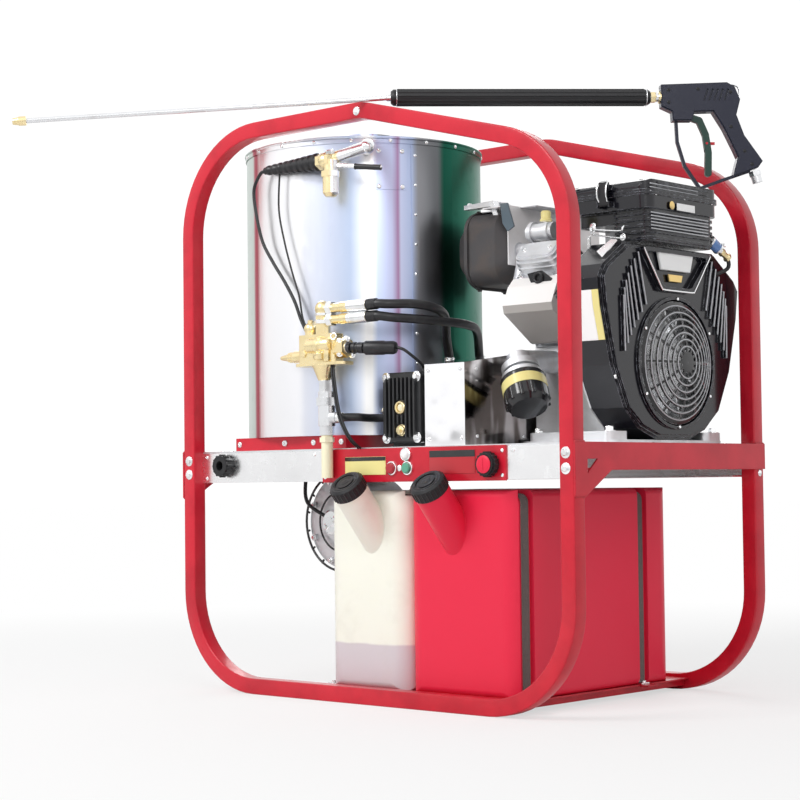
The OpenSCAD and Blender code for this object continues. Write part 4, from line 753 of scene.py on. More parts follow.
# %% Straps
def band_outline(x0, x1, top, corner, steps=8):
    points = [(x0, 28.5), (x0, 120), (x0, 240), (x0, top - corner)]
    for i in range(1, steps + 1):
        a = math.pi - i * math.pi / 2 / steps
        points.append((x0 + corner + corner * math.cos(a), top - corner + corner * math.sin(a)))
    points += [(x0 + (x1 - x0) * k / 6, top) for k in range(1, 6)]
    for i in range(steps + 1):
        a = math.pi / 2 - i * math.pi / 2 / steps
        points.append((x1 - corner + corner * math.cos(a), top - corner + corner * math.sin(a)))
    return points + [(x1, 240), (x1, 120), (x1, 28.5)]


def strap(shape, y0, width=22, thick=2.4):
    route = band_outline(-133.7, 342.7, 401.7, 16)
    rings = []
    for i, (x, z) in enumerate(route):
        a, b = route[max(i - 1, 0)], route[min(i + 1, len(route) - 1)]
        along = Vector((b[0] - a[0], 0, b[1] - a[1])).normalized()
        out = Vector((-along.z, 0, along.x))
        section = [(0, 0.2), (0.8, thick / 2), (4, thick / 2 + 0.25), (width / 2, thick / 2 + 0.35),
            (width - 4, thick / 2 + 0.25), (width - 0.8, thick / 2), (width, 0.2),
            (width - 0.8, -thick / 2), (width / 2, -thick / 2), (0.8, -thick / 2)]
        rings.append([Vector((x, y0 + w, z)) + out * h for w, h in section])
    return shape.rings(rings)


straps = Shape()
feet = Shape()
for y0 in (-245, 113):
    strap(straps, y0)
    for x in (-151, 336):
        feet.slab((x - 5.5, y0 - 2, 25.1), (x + 18, y0 + 24, 28), 0.8)
        feet.bolt((x + (0 if x < 0 else 13), y0 + 11, 28), UP, 7, 3)
straps.piece("strap_webbing", webbing, stands_for=("tank_straps",))
feet.piece("strap_feet", chrome)

# %% [markdown]
# ## Hoop tubes
# Each hoop is one square tube, bent at four corners and at the low peak. The CAD tube has a section
# with sharp edges, and a very thin sliver of it runs on past the right shoulder. The tube is drawn
# again on the same outline, with rolled edges and without the sliver. The outline at any depth below
# the outer face is five straight runs joined by arcs, and the section is lofted through them.

# %% Hoops
half_w, top_z, peak_x, slope, tube_w = 515.0, 1166.0, 10.0, math.radians(15), 31.75
bends = (204, 204, 196, 150, 220)


def hoop_line(inset, y, steps=16):
    """The hoop's outline at a depth below its outer face, as one closed ring of points."""
    shoulder = top_z - (half_w - inset - peak_x) * math.tan(slope) - inset / math.cos(slope)
    peak = peak_x - inset * math.tan(slope / 2)
    knots = [Vector(p) for p in ((-half_w + inset, inset), (half_w - inset, inset),
        (half_w - inset, shoulder), (peak, top_z - inset), (-half_w + inset, top_z - inset))]
    ring = []
    for i, knot in enumerate(knots):
        back = (knots[i - 1] - knot).normalized()
        ahead = (knots[(i + 1) % 5] - knot).normalized()
        half = back.angle(ahead) / 2
        radius = bends[i] - inset
        middle = knot + (back + ahead).normalized() * radius / math.sin(half)
        start = knot + back * radius / math.tan(half) - middle
        turn = math.pi - 2 * half
        for n in range(steps + 1):
            a = turn * n / steps
            spot = middle + Vector((start.x * math.cos(a) - start.y * math.sin(a),
                start.x * math.sin(a) + start.y * math.cos(a)))
            ring.append(Vector((spot.x, y, spot.y)))
    return ring


def hoop_tube(y0, rolled=2.4):
    section = []
    far = tube_w - rolled
    for centre, start in (((rolled, rolled), 180), ((far, rolled), 270), ((far, far), 0),
            ((rolled, far), 90)):
        for n in range(5):
            a = math.radians(start + n * 22.5)
            section.append((centre[0] + rolled * math.cos(a), centre[1] + rolled * math.sin(a)))
    return Shape().rings([hoop_line(depth, y0 + along) for depth, along in section], loop=True)


hoop_tube(-309).piece("front_hoop_tube", frame_paint, stands_for=("front_hoop",))
hoop_tube(308.98 - tube_w).piece("rear_hoop_tube", frame_paint, stands_for=("rear_hoop",))

# %% [markdown]
# ## Frame hardware
# The cage is welded and bolted: a plate on each side is welded to the legs, rails are bolted between
# them, and a screw sits at the peak. Bolt heads are turned with six sides, a chamfer and a washer.

# %% Bolts and welds on the frame
frame_bolts = Shape()
for x in (-498, 498):
    for z in (475, 447):
        frame_bolts.bolt((x, -309, z), FRONT, 11, 5)
for side in (-1, 1):
    for y, z in ((-293, 443), (293, 436), (-293, 482), (293, 482)):
        frame_bolts.bolt((side * 514.5, y, z), (side, 0, 0), 12, 3.2, False)
for y in (-309, 277.3):
    frame_bolts.bolt((-1, y, 1148), FRONT, 9, 4)
for x in (-264, -180, -102, -398, -262):
    frame_bolts.screw((x, -256.2, 508), FRONT, 6.5, 3)
frame_bolts.piece("frame_bolts", chrome)
welds = Shape()
for side in (-1, 1):
    for y0, y1 in ((-309, -277.5), (277.5, 309)):
        welds.bead((side * 516.3, y0 + 1, 494.6), (side * 516.3, y1 - 1, 494.6))
    for y in (-277, 277):
        welds.bead((side * 500, y, 493.6), (side * 484, y, 493.6), 2.0)
    welds.bead((side * 516.3, -308, 397.6), (side * 516.3, -278, 397.6))
for side in (-1, 1):
    welds.bead((side * 252, -277, 26), (side * 236, -277, 26), 2)
welds.piece("weld_beads", frame_paint)

# %% [markdown]
# ## Control panel
# The panel carries two blank data plates, a lamp, a selector and two buttons. The plates stay bare:
# a thin sheet with a coloured head bar gives the look of a label without any words.

# %% Panel
panel_y = -288.2


def plate(name, finish, low, high, out=0, thick=0.8, lip=0.5):
    """A blank plate between two (x, z) corners, standing out from the panel."""
    (x0, z0), (x1, z1), y = low, high, panel_y - out
    outline = [(x0, y, z0), (x1, y, z0), (x1, y, z1), (x0, y, z1)]
    Shape().sheet(outline, (0, -thick, 0), lip).piece(name, finish)


plate("panel_plate_left", yellow_card, (-61, 441), (47, 476))
plate("panel_plate_left_bar", black_gloss, (-61, 468), (47, 475.5), 0.7, 0.4, 0.3)
plate("panel_plate_right", red_card, (160, 441), (272, 485))
plate("panel_plate_right_bar", cast_steel, (160, 472), (272, 484.5), 0.7, 0.4, 0.3)
lamp_rim = Shape().turned((101, panel_y, 479), FRONT,
    [(13, 0), (13, 4), (11.5, 5.5), (10.5, 5.5), (10.5, 3)], 36)
for x in (63, 104):
    lamp_rim.turned((x, -288, 453), FRONT, [(14.2, 0), (14.2, 1.5), (13.2, 3.2), (11.2, 3.6), (10.3, 3.0),
        (10.3, 0)], 36, loop=True)
lamp_rim.turned((84, panel_y, 453), FRONT, [(6, 0), (6, 3), (4.5, 4)], 24)
lamp_rim.piece("panel_rims", chrome)
lens = [(10.3, 0), (10.2, 2.5), (8, 5.5), (4, 7), (0, 7.4)]
Shape().turned((101, panel_y - 3, 479), FRONT, lens, 36).piece("lamp_lens", white_card)
dial = Shape().turned((309, -308.5, 457), FRONT, [(16.5, 0.3), (16.5, 1), (13, 2.6), (6, 3)], 36)
dial.slab((307.6, -312.2, 446), (310.4, -308.5, 468), 0.6)
dial.piece("dial_face", red_poly, "thermostat_knob")
panel_screws = Shape()
for x in (-116, 337):
    for z in (437, 482):
        panel_screws.screw((x, -288, z), FRONT, 4, 2)
for x, z in ((-470, 482), (-150, 482), (360, 482), (470, 482), (-470, 438), (470, 438)):
    panel_screws.screw((x, -285, z), FRONT, 4, 2)
panel_screws.piece("panel_screws", chrome)

# %% [markdown]
# ## Boiler hardware
# Blind rivets hold the lid's rim, a small plate is screwed on below it, and the jacket's seam has a
# row of small screws. The same turned profile is set out round the jacket by angle.

# %% Boiler rivets and plate
def on_jacket(angle, z, radius):
    """A point round the boiler's axis, and the way out from the axis."""
    outward = Vector((math.cos(math.radians(angle)), math.sin(math.radians(angle)), 0))
    return Vector((boiler_x, boiler_y, z)) + radius * outward, outward


rivets = Shape()
for angle in range(-178, 180, 18):
    place, outward = on_jacket(angle, 1113, 251.2)
    rivets.turned(place, outward, [(4, 0), (3.6, 1.3), (2, 2.2), (0, 2.4)], 16)
for z in range(545, 1090, 60):
    place, outward = on_jacket(-22, z, 250.2)
    rivets.turned(place, outward, [(3.4, 0), (3, 1.1), (1.6, 1.8), (0, 2)], 14)
for angle, z in ((-39.5, 1092), (-28.5, 1092), (-39.5, 1020), (-28.5, 1020)):
    place, outward = on_jacket(angle, z, 250.6)
    rivets.screw(place, outward, 5, 2.4)
rivets.piece("boiler_rivets", chrome)

# %% [markdown]
# ## Pump details
# The plunger pump has an oil cover held by four corner bolts, with a sight glass in the middle and a
# drain plug below it. The glass is a brass ring round a domed lens.

# %% Pump details
pump_bolts = Shape()
for x, z in ((6, 630), (86, 630), (6, 512), (86, 512)):
    pump_bolts.bolt((x, -240, z), FRONT, 11, 6)
for x in (19, 47, 75):
    for z in (546, 586):
        pump_bolts.bolt((x, -24, z), BACK, 15, 5, False)
pump_bolts.turned((-3, -229, 566), LEFT, [(9, 0), (9, 4), (7, 5), (7, 9)], 6)
pump_bolts.piece("pump_bolts", chrome)
sight = Shape().turned((46, -240, 571), FRONT, [(8.6, -4), (13, -2), (13, 6), (11.5, 7.6), (9, 7.6),
    (8.6, 5)], 32, loop=True)
sight.turned((46, -240, 527), FRONT, [(11.5, 0), (11.5, 2), (10, 3), (10, 6), (8, 8)], 28)
sight.bolt((46, -247.5, 527), FRONT, 10, 4, False)
sight.turned((46, -150, 636), UP, [(12, 0), (12, 5), (9, 7), (9, 15), (11, 17), (10, 22), (0, 23)], 24)
sight.piece("pump_brass", brass)
Shape().turned((46, -241, 571), FRONT, [(8.4, 0), (8, 2.4), (5, 4.4), (0, 5)], 28).piece(
    "sight_lens", cream_tube)

# %% [markdown]
# ## Valve fittings
# The unloader is a forged body with turned bosses, hex plugs, lock nuts and small bolts. Bosses and
# caps are pale brass like the body, while plugs and nuts are steel, so each metal has its own pieces.

# %% Valve fittings
rounded = Shape()
rounded.turned((-128, -320, 697), RIGHT, [(12, 0), (15, 3), (15, 24), (17, 26), (17, 34), (14, 36),
    (14, 58), (11, 62)], 36)
rounded.turned((-97, -321, 668), UP, [(11, 0), (13, 3), (13, 12), (10, 15), (10, 44), (0, 46)], 32)
rounded.turned((-76, -321, 664), UP, [(8, 0), (9, 2), (9, 30), (7, 34), (0, 35)], 6)
rounded.piece("valve_bosses", brass)
body = Vector((-97, -302, 690))
fittings = Shape(body)
for dx, dy, dz in ((52, -17, 12), (52, -17, -12), (62, -8, 16), (62, 8, -14)):
    fittings.bolt((dx - 4, dy + 6, dz), (0.5, -0.86, 0), 7, 4)
fittings.turned((-8, 0, 50), UP, [(18, 0), (18, 7), (16, 8.5)], 6)
fittings.turned((-8, 0, 66), UP, [(17.4, 0), (17.4, 5), (16, 6)], 6)
fittings.turned((8, 0, 80), RIGHT, [(14.5, 0), (14.5, 12), (13, 13.5)], 6)
fittings.turned((8, 0, 57), RIGHT, [(14, 0), (14, 12), (12.5, 13.5)], 6)
fittings.turned((60.2, 0, 0), RIGHT, [(12, 0), (12, 1.6), (10, 2)], 24)
fittings.hoop((40, -20, 22), (0.3, -1, 0.2), 6, 1.4)
fittings.turned((10, -17.2, -2), FRONT, [(9, 0), (9, 4), (7.4, 5.4)], 6)
fittings.turned(Vector((12, 0, 4)) + tee - body, (0, -0.2, 1), [(0, 0), (10, 8), (10, 15), (7, 17)], 6)
fittings.piece("valve_fittings", chrome)
caps = Shape(body)
caps.turned((-43, 0, 55), UP, [(0, 0), (6, -2), (6, 3), (4, 5)], 20)
caps.turned((-20, -17.2, 8), FRONT, [(12, 0), (12, 3), (9, 5), (5, 5), (5, 8)], 24)
caps.turned((-46, -17.2, -8), FRONT, [(8, 0), (8, 2), (6, 3.5)], 6)
caps.turned((-6, 0, -42), UP, [(19, 0), (24.6, 8), (24.6, 10)], 28)
caps.piece("valve_caps", brass)

# %% [markdown]
# ## Engine hardware
# The engine carries what a mechanic sees first: rocker cover bolts, spark plugs with their leads, the
# fuel filter, the throttle linkage and the blank plates of the shroud.

# %% Cylinder hardware
crank = Vector((0, 74, 648))


def bank(x, y, z, side=1):
    """A point in the upright frame of a cylinder, turned to its bank."""
    c = math.cos(math.radians(45))
    turned_y, turned_z = y * c - z * c, y * c + z * c
    return crank + Vector((x, side * turned_y, turned_z))


def bank_way(x, y, z, side=1):
    return bank(x, y, z, side) - crank


rocker_z = 239
cylinder_bolts = Shape()
plug_leads = Shape()
for side, x0 in ((1, 280), (-1, 290)):
    for dx, y in ((-44, -3), (44, -3), (-48, 54), (48, 54)):
        cylinder_bolts.bolt(bank(x0 + dx, y, rocker_z + 7, side), bank_way(0, 0, 1, side), 8, 4)
    for dx in (-30, 30):
        cylinder_bolts.screw(bank(x0 + dx, 30, rocker_z + 46, side), bank_way(0, 0, 1, side), 5, 2.5)
    for dx in (-40, 0, 40):
        cylinder_bolts.bolt(bank(x0 + dx, -58, 228, side), bank_way(0, -1, 0, side), 7, 3, False)
    plug = bank(x0 - 10, 56, 214, side)
    away = bank_way(0, 1, 0.25, side).normalized()
    cylinder_bolts.turned(plug - away * 3, away, [(9, 0), (9, 6), (6, 7), (6, 14)], 6)
    plug_leads.turned(plug + away * 8, away, [(8, 0), (9, 3), (9, 14), (7, 18), (5, 24), (0, 25)], 20)
    tip = plug + away * 30
    plug_leads.tube([tip, tip + away * 10 + Vector((6, 0, 4)), tip + Vector((40, side * 6, 8)),
        bank(x0 + 62, 62, 190, side), bank(x0 + 84, 50, 168, side)], 3.4, 12)
cylinder_bolts.piece("cylinder_bolts", chrome)
plug_leads.piece("spark_leads", hose_rubber)

# %% [markdown]
# ## Shroud plates and trim
# The shroud has a plate in the window between its arms, a small badge below it and a taller plate on
# its side. They are bare: only the sheet and its rounded edge are modelled. Thin pale strips on the
# bars and on the fan's rings stand for the light that their rounded tops catch.

# %% Shroud trim
face_x = 471.0
window_plate = Shape().sheet([(face_x, crank.y - 60, 862), (face_x, crank.y + 60, 862),
    (face_x, crank.y + 48, 824), (face_x, crank.y - 48, 824)], (6, 0, 0), 2)
window_plate.piece("shroud_window_plate", white_card)
badge = [(face_x, 50, 817), (face_x, 98, 817), (face_x, 94, 803), (face_x, 54, 803)]
Shape().sheet(badge, (4, 0, 0), 1.5).piece("shroud_badge", gold_badge)
side_line = [(-134.6, 684), (-150.4, 744), (-155.1, 776)]
for name, finish, section in (
        ("shroud_side_plate", white_card, ((0.2, 388), (1.4, 389), (1.4, 444), (0.2, 445))),
        ("shroud_side_plate_edge", yellow_card, ((0.2, 445.2), (1.4, 445.4), (1.4, 459), (0.2, 460)))):
    card = Shape().rings([[Vector((x, y - out, z)) for out, x in section] for y, z in side_line])
    card.piece(name, finish)
trim = Shape()
rim_line = [(109, 212), (106, 206), (58, 144), (50, 137.5), (30, 136.8), (0, 136.8)]
for side in (-1, 1):
    trim.tube([(480.5, crank.y + side * y, crank.z + z) for y, z in rim_line], 1.8, 8, 4)
trim.piece("shroud_window_rim", chrome)
shroud_screws = Shape()
for y, z in ((-112, -92), (112, -92), (-176, -30), (176, -30), (-196, 110), (196, 110), (-150, 190),
        (150, 190)):
    shroud_screws.screw((461.5, crank.y + y * 1.03, crank.z + z * 1.03), RIGHT, 5, 3)
for k in range(6):
    a = math.radians(30 + k * 60)
    place = (476.4, crank.y + 122.6 * math.cos(a), crank.z + 122.6 * math.sin(a))
    shroud_screws.bolt(place, RIGHT, 6, 3, False)
shroud_screws.piece("shroud_screws", chrome)
bar_tops = Shape()
for side in (-1, 1):
    for i in range(7):
        bar_tops.rod((476.2, crank.y + side * (124 + i * 14 - i * i), crank.z + 204 - i * 14),
            (476.2, crank.y + side * (100 + i * 14 - i * i * 0.4), crank.z + 106 - i * 15), 1.5, 10)
bar_tops.piece("shroud_bar_tops", painted_highlight_plastic)
screen_r, bulge, rings = 118.0, 26.0, 7
dome_r = (screen_r ** 2 + bulge ** 2) / (2 * bulge)
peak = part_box("fan_screen")[1].x * 1000
ring_tops = Shape()
for i in range(rings):
    ring_r = 20 + (i + 0.81) * (screen_r - 26) / rings
    ring_x = peak - dome_r + math.sqrt(dome_r ** 2 - ring_r ** 2) - 0.3
    ring_tops.hoop((ring_x, crank.y, crank.z), RIGHT, ring_r, 1.3, 72)
ring_tops.piece("fan_ring_tops", painted_highlight_plastic, "engine_rotor")

# %% [markdown]
# ## Air box trim
# The air box lid is held by a wire clip and carries a round badge and a plate on its end, both blank.
# The clip is one bent steel wire, so it is swept along its own bends. Thin ribs run across the end;
# their pale grey is a painted highlight on their rounded tops.

# %% Air box trim
end_plate = [(500.2, 44, 950), (500.2, 104, 950), (500.2, 104, 936), (500.2, 44, 936)]
Shape().sheet(end_plate, (1.2, 0, 0), 1).piece("air_box_plate", white_card)
Shape().turned((500.1, 28, 944), RIGHT, [(8, 0), (8, 1), (6, 1.8)], 28).piece("air_box_badge", gold_badge)
clip = Shape()
clip.tube([(395.5, -60, 951), (394.5, -66, 962), (394.5, -66, 978), (396, -60, 990.5), (414, -60, 990.5),
    (415.5, -66, 978), (415.5, -66, 962), (414.5, -60, 951)], 1.5, 8, 5)
clip.piece("air_box_clip", chrome, "filter_latch")
box_bolts = Shape()
for y in (-20, 74, 168):
    box_bolts.screw((497, y, 962), (1, 0, 0.2), 3.6, 2)
for x, y in ((330, -46), (480, -46), (330, 194), (480, 194)):
    box_bolts.screw((x, y + (4 if y < 0 else -4), 988.2), UP, 4, 0.7)
box_bolts.piece("air_box_screws", chrome)
# The ribs' pale grey is a painted highlight.
ribs = Shape()
for z in (895, 901, 907, 913, 919, 925):
    ribs.rod((500, -40, z), (500, 150, z), 1.3, 8)
for z in (966, 973, 980):
    ribs.rod((497, -38, z), (497, 120, z), 1.3, 8)
ribs.piece("air_box_ribs", painted_highlight_plastic)

# %% [markdown]
# ## Fuel filter and linkage
# Petrol passes through a clear filter beside the air box on its way to the carburettor. The throttle
# moves through thin rods with bent ends and a return spring. Both are small, so they are drawn as
# swept wires and turned bodies.

# %% Fuel filter and linkage
spot = Vector((484, 176, 893))
way = Vector((0.1, 0.86, -0.5)).normalized()
Shape().turned(spot, way, [(5, 0), (10, 4), (11, 6), (11, 30), (10, 32), (5, 36)], 28).piece(
    "fuel_filter_glass", blue_glass)
filter_metal = Shape()
barb = [(3.6, 0), (4.4, 3), (3.6, 5), (5.5, 9), (11.6, 12), (11.6, 16)]
filter_metal.turned(spot - way * 9, way, barb, 24)
filter_metal.turned(spot + way * 29, way, [(11.6, 0), (11.6, 4), (6, 8), (6, 14), (4, 16), (4, 24)], 24)
filter_metal.bolt(spot + way * 38 + Vector((4, 0, 8)), (0.4, -0.2, 1), 9, 6)
filter_metal.piece("fuel_filter_metal", chrome)
Shape().turned(spot + way * 42, way, [(8, 0), (8, 7), (6, 9), (6, 17), (9, 19), (9, 24)], 6).piece(
    "fuel_cock", brass)
fuel = Shape()
fuel.tube([spot - way * 5, spot - way * 20 + Vector((-4, 0, 6)), (466, 140, 905), (420, 120, 900),
    (372, 104, 893), (350, 96, 890)], 4, 12)
fuel.tube([spot + way * 64, spot + way * 78 + Vector((-6, -6, -14)), (452, 214, 820), (420, 216, 790),
    (384, 214, 770)], 4, 12)
fuel.piece("fuel_hoses", hose_rubber)
linkage = Shape()
linkage.tube([(384, -66, 905), (390, -70, 900), (420, -74, 895), (455, -76, 891), (460, -76, 896),
    (460, -72, 900)], 1.8, 8)
linkage.tube([(372, -50, 903), (376, -56, 893), (440, -64, 880), (452, -64, 880)], 1.6, 8)
coils = [k * math.pi / 5 for k in range(100)]
linkage.tube([(386 + 3.4 * math.cos(a), -82 + 3.4 * math.sin(a), 886 - a * 0.42) for a in coils], 0.8, 6, 0)
linkage.sheet([(430, -118, 851), (447, -124, 838), (481, -124, 868), (464, -118, 871)], (0, 2, -2), 1)
linkage.bolt((372, -50, 905), FRONT, 8, 5)
linkage.bolt((384, -66, 907), (0, -1, 0.3), 7, 4)
linkage.bolt((452, -64, 880), FRONT, 7, 4)
linkage.piece("throttle_linkage", chrome)

# %% [markdown]
# ## Exhaust bracket
# A flat steel bracket carries the muffler from the cylinder head. It is a bent bar, thicker than a
# sheet, so its side profile is pushed through its width. The painted strut beside it, the heat shield
# and the lifting ear are made in the same way, and the breather cap is turned.

# %% Exhaust bracket
bracket = Shape()
outer_line = [(58, 981), (134, 984), (155, 932), (176, 921), (176, 910), (146, 921), (127, 973), (58, 972)]
bracket.strip(outer_line, -60, 16)
strut = Shape().strip([(168, 972), (186, 972), (202, 924), (186, 916), (174, 932)], -80, 4)
strut.piece("exhaust_strut", strut_paint)
shield = Shape().strip([(120, 968), (185, 968), (185, 850), (183, 850), (183, 966), (120, 966)], -76, 298)
shield.piece("heat_shield", shield_sheet)
ear = Shape().strip([(268, 822), (300, 826), (326, 808), (322, 792), (300, 803), (282, 792)], -122, 6)
ear.hoop((296, -124, 812), BACK, 9, 3, 24)
ear.piece("lifting_ear", black_plastic)
Shape().turned((298, -100, 922), UP, [(12, 0), (12, 3), (10, 5), (10, 17), (8, 20)], 24).piece(
    "breather_cap", yellow_card)
bracket.bolt((160, -54, 925.5), (0.4, 0, 1), 9, 5)
bracket.bolt((66, -52, 980), UP, 9, 4)
bracket.piece("exhaust_bracket", steel_parts)
muffler_trim = Shape()
for y in (-40, 40, 110, 186):
    for z, way in ((966, 1), (810, -1)):
        muffler_trim.bolt((80, y, z - way * 1.5), (0, 0, way), 8, 3.4)
muffler_trim.piece("muffler_bolts", muffler_steel)

# %% [markdown]
# ## Oil filter
# The spin-on filter is a drawn can with a flat band of print round it. The band here is a plain
# yellow sleeve, a fraction of a millimetre proud of the can.

# %% Oil filter
down = Vector((0.45, -0.3, -0.84)).normalized()
top = Vector((268, -139, 618))
Shape().turned(top + down * 9, down, [(43.2, 0), (43.7, 0.4), (43.7, 20.6), (43.2, 21)], 48,
    loop=True).piece("oil_filter_band", yellow_card)
seal = Shape().hoop(top + down * 1.5, down, 42, 2.2, 48)
seal.piece("oil_filter_seam", black_gloss)
mount_bolts = Shape()
for k in range(5):
    a = 2 * math.pi * k / 5 + 0.4
    u, v = crossing(down)
    mount_bolts.bolt(top - down * 8 + (u * math.cos(a) + v * math.sin(a)) * 30, -down, 8, 4)
mount_bolts.piece("filter_mount_bolts", chrome)

# %% [markdown]
# ## Caps, guard and deck hardware
# The filler caps have a raised boss, the belt guard is screwed to the deck, and the engine feet are
# bolted down. These are the last fixings that hold everything in place.

# %% Caps, guard and deck hardware
lean = Vector((0, -math.sin(math.radians(40)), math.cos(math.radians(40))))
for name, x in (("white", -18), ("red", 191)):
    crown = Vector((x, -262, 341)) + lean * 111.3
    boss = Shape().turned(crown, lean, [(15.5, 0), (15.5, 1.2), (12.5, 2), (12.5, 1.2), (9, 1.2), (9, 2.2),
        (6, 2.8)], 40)
    boss.hoop(crown + lean * 1.6, lean, 25, 1.1, 48)
    boss.piece(name + "_cap_boss", black_plastic, name + "_cap")
guard_screws = Shape()
for x in (112, 193):
    for z in (508, 640):
        guard_screws.screw((x, -235, z), FRONT, 4, 2)
for y, z in ((-200, 512), (-60, 512), (100, 512), (-200, 640), (100, 682)):
    guard_screws.screw((203, y, z), RIGHT, 4, 2)
guard_screws.piece("guard_screws", chrome)
deck_bolts = Shape()
for x in (272, 438):
    for y in (-98, 246):
        deck_bolts.bolt((x, y, 517), UP, 14, 8)
for x in (8, 84):
    for y in (-222, -120):
        deck_bolts.bolt((x, y, 502), UP, 10, 5)
for x in (-470, -440, 470):
    for y in (-240, 0, 240):
        deck_bolts.screw((x, y, 494), UP, 5, 2.4)
deck_bolts.piece("deck_bolts", chrome)

# %% [markdown]
# ## Burner details
# Behind and below the boiler sits the burner: a blower housing with a motor, an oil pump and an
# ignition lead. Its bolts, its gasket with a ring of ribs and its small pump make it read as a machine
# and not as a drum.

# %% Burner details
centre = Vector((boiler_x, 0, 345))
burner = Shape(centre)
for k in range(8):
    a = math.radians(22.5 + k * 45)
    burner.bolt((88 * math.cos(a), -108.2, 88 * math.sin(a)), FRONT, 8, 4, False)
burner.turned((0, -128, 0), FRONT, [(26, 0), (26, 8), (22, 12), (10, 12), (10, 16)], 32)
burner.bolt((14, -140, 6), FRONT, 8, 5)
burner.bolt((-12, -140, -10), FRONT, 8, 5)
burner.piece("burner_pump", chrome)
gasket = Shape(centre)
gasket.hoop((0, -107, 0), BACK, 103, 2.6, 56)
gasket.hoop((0, -108, 0), BACK, 62, 2.2, 48)
for k in range(16):
    a = math.radians(11.25 + k * 22.5)
    gasket.rod((96 * math.cos(a), -106, 96 * math.sin(a)), (106 * math.cos(a), -106, 106 * math.sin(a)),
        2.4, 8)
gasket.piece("burner_gasket", black_gloss)
burner_lead = Shape(centre)
burner_lead.tube([(20, -136, 16), (44, -150, 30), (80, -140, 70), (96, -110, 104), (90, -90, 141)], 4, 12)
burner_lead.tube([(-18, -136, 12), (-60, -146, 40), (-92, -120, 84), (-96, -100, 141)], 4, 12)
burner_lead.piece("burner_leads", hose_rubber)

# %% [markdown]
# ## Spray gun details
# The gun is two moulded halves screwed together. The screws sit in round wells along the seam, a
# brass coupling joins the sleeve, and a small steel hook ends the trigger bow.

# %% Gun details
tilt = math.radians(0.089253)
yaw = math.radians(46)


def wand(x, y, z):
    """A point in the wand's own frame."""
    px, pz = x * math.cos(tilt) - z * math.sin(tilt), x * math.sin(tilt) + z * math.cos(tilt)
    return Vector((23.6 + px * math.cos(yaw) - y * math.sin(yaw),
        -309 + px * math.sin(yaw) + y * math.cos(yaw), 1170.6857 + pz))


def wand_way(x, y, z):
    return wand(x, y, z) - wand(0, 0, 0)


gun_screws = Shape()
for x, z in ((590, 12), (590, -12), (648, 14), (712, 8), (712, -60), (738, -108), (752, -134)):
    for side in (-1, 1):
        gun_screws.screw(wand(x, side * 15, z), wand_way(0, side, 0), 3.4, 1.2)
gun_screws.piece("gun_screws", black_plastic, "spray_wand")
coupling = Shape()
coupling.turned(wand(557, 0, 0), wand_way(1, 0, 0), [(11, 0), (11, 9), (9.6, 10), (9.6, 12)], 6)
coupling.turned(wand(572, 0, 0), wand_way(1, 0, 0), [(9.3, 0), (12, 1), (12, 5), (9.3, 6)], 28, loop=True)
coupling.piece("gun_coupling", brass, "spray_wand")
hook = Shape()
hook.tube([wand(708, 0, 23), wand(712, 0, 25.4), wand(722, 0, 25), wand(731, 0, 20), wand(734, 0, 8),
    wand(732, 0, -4)], 2.2, 10)
hook.piece("gun_back_strap", chrome, "spray_wand")
tail = Shape()
tail.turned(wand(55.5, 0, 0), wand_way(-1, 0, 0), [(11, 0), (9, 4), (7, 6), (7, 14), (5.3, 16)], 28)
for x in (60, 548):
    tail.hoop(wand(x, 0, 0), wand_way(1, 0, 0), 16.2, 1.0, 32)
tail.piece("sleeve_ends", steel_parts, "spray_wand")
print("gun dressed")

# %% [markdown]
# ## Light and floor
# Plain studio light: one large soft lamp in front, a weaker one from the right and a pale room all
# round. The room is white only to the camera and in reflections, so it never overexposes the paint.

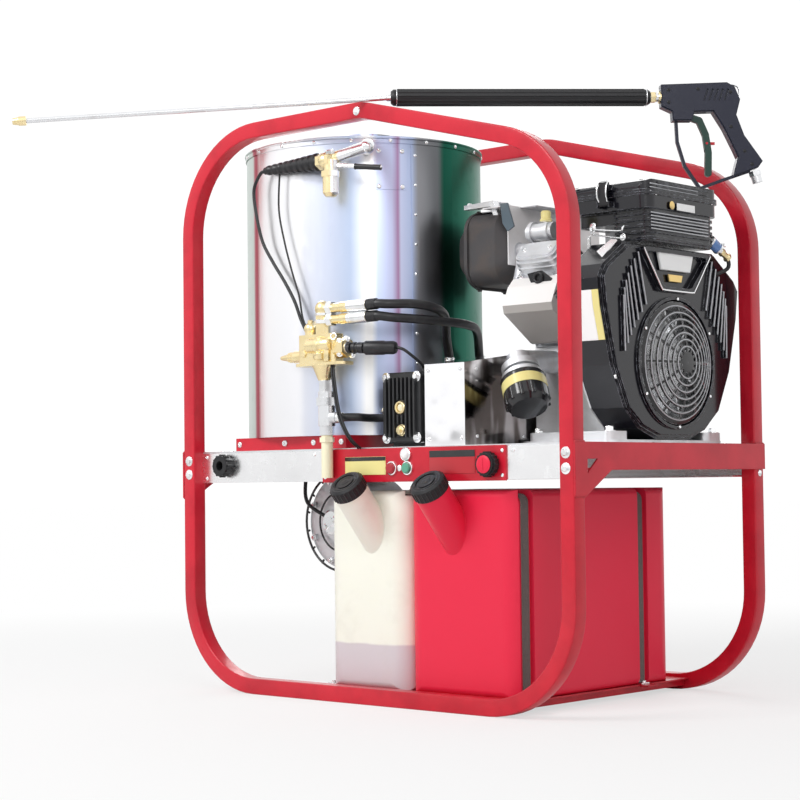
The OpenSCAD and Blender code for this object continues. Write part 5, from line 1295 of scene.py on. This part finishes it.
# %% Room, floor and lamps
def room():
    world = bpy.data.worlds.new("room")
    bpy.context.scene.world = world
    world.use_nodes = True
    tree = world.node_tree
    back = tree.nodes["Background"]
    path = tree.nodes.new("ShaderNodeLightPath")
    seen = tree.nodes.new("ShaderNodeMath")
    seen.operation = "MAXIMUM"
    tree.links.new(path.outputs["Is Camera Ray"], seen.inputs[0])
    tree.links.new(path.outputs["Is Transmission Ray"], seen.inputs[1])
    mirrored = tree.nodes.new("ShaderNodeMath")
    mirrored.operation = "MAXIMUM"
    tree.links.new(seen.outputs[0], mirrored.inputs[0])
    tree.links.new(path.outputs["Is Glossy Ray"], mirrored.inputs[1])
    strength = tree.nodes.new("ShaderNodeMapRange")
    tree.links.new(mirrored.outputs[0], strength.inputs["Value"])
    strength.inputs["To Min"].default_value = 0.52
    strength.inputs["To Max"].default_value = 1.05
    back.inputs["Color"].default_value = (1.0, 1.0, 1.0, 1.0)
    tree.links.new(strength.outputs[0], back.inputs["Strength"])


def floor_sheet(size):
    mesh = bmesh.new()
    bmesh.ops.create_grid(mesh, x_segments=8, y_segments=8, size=size)
    data = bpy.data.meshes.new("floor")
    mesh.to_mesh(data)
    mesh.free()
    floor = bpy.data.objects.new("floor", data)
    bpy.context.scene.collection.objects.link(floor)
    f = Finish("floor_paint", Base_Color=(0.86, 0.86, 0.86), Roughness=0.9, Specular_IOR_Level=0.1)
    camera_ray = f.node("LightPath", output="Is Camera Ray")
    away = (f.axis("X") * f.axis("X") + f.axis("Y") * f.axis("Y")).between(0.7, 9.0)
    glow = f.node("Emission", None, {"Color": (1.0, 1.0, 1.0), "Strength": 1.0})
    shown = f.node("MixShader", None, {0: camera_ray * (away * 0.38 + 0.62),
        1: Field(f, f.shader.outputs[0]), 2: glow})
    f.links.new(shown.socket, f.tree_nodes["Material Output"].inputs["Surface"])
    data.materials.append(f.material)


def lamp(name, place, target, size, power):
    data = bpy.data.lights.new(name, "AREA")
    data.shape = "RECTANGLE"
    data.size, data.size_y = size
    data.energy = power
    made = bpy.data.objects.new(name, data)
    made.location = place
    made.rotation_euler = (Vector(target) - Vector(place)).to_track_quat("-Z", "Y").to_euler()
    bpy.context.scene.collection.objects.link(made)


room()
floor_sheet(30)
lamp("key", (-0.9, -3.7, 3.4), (0, 0, 0.6), (2.0, 1.6), 112)
lamp("side", (3.2, -2.7, 2.6), (0.2, 0, 0.6), (1.2, 1.8), 30)
lamp("back", (-2.5, 3.0, 3.0), (0, 0, 0.7), (2.5, 2.0), 40)
bpy.context.scene.view_settings.view_transform = "Standard"
print("room lit")
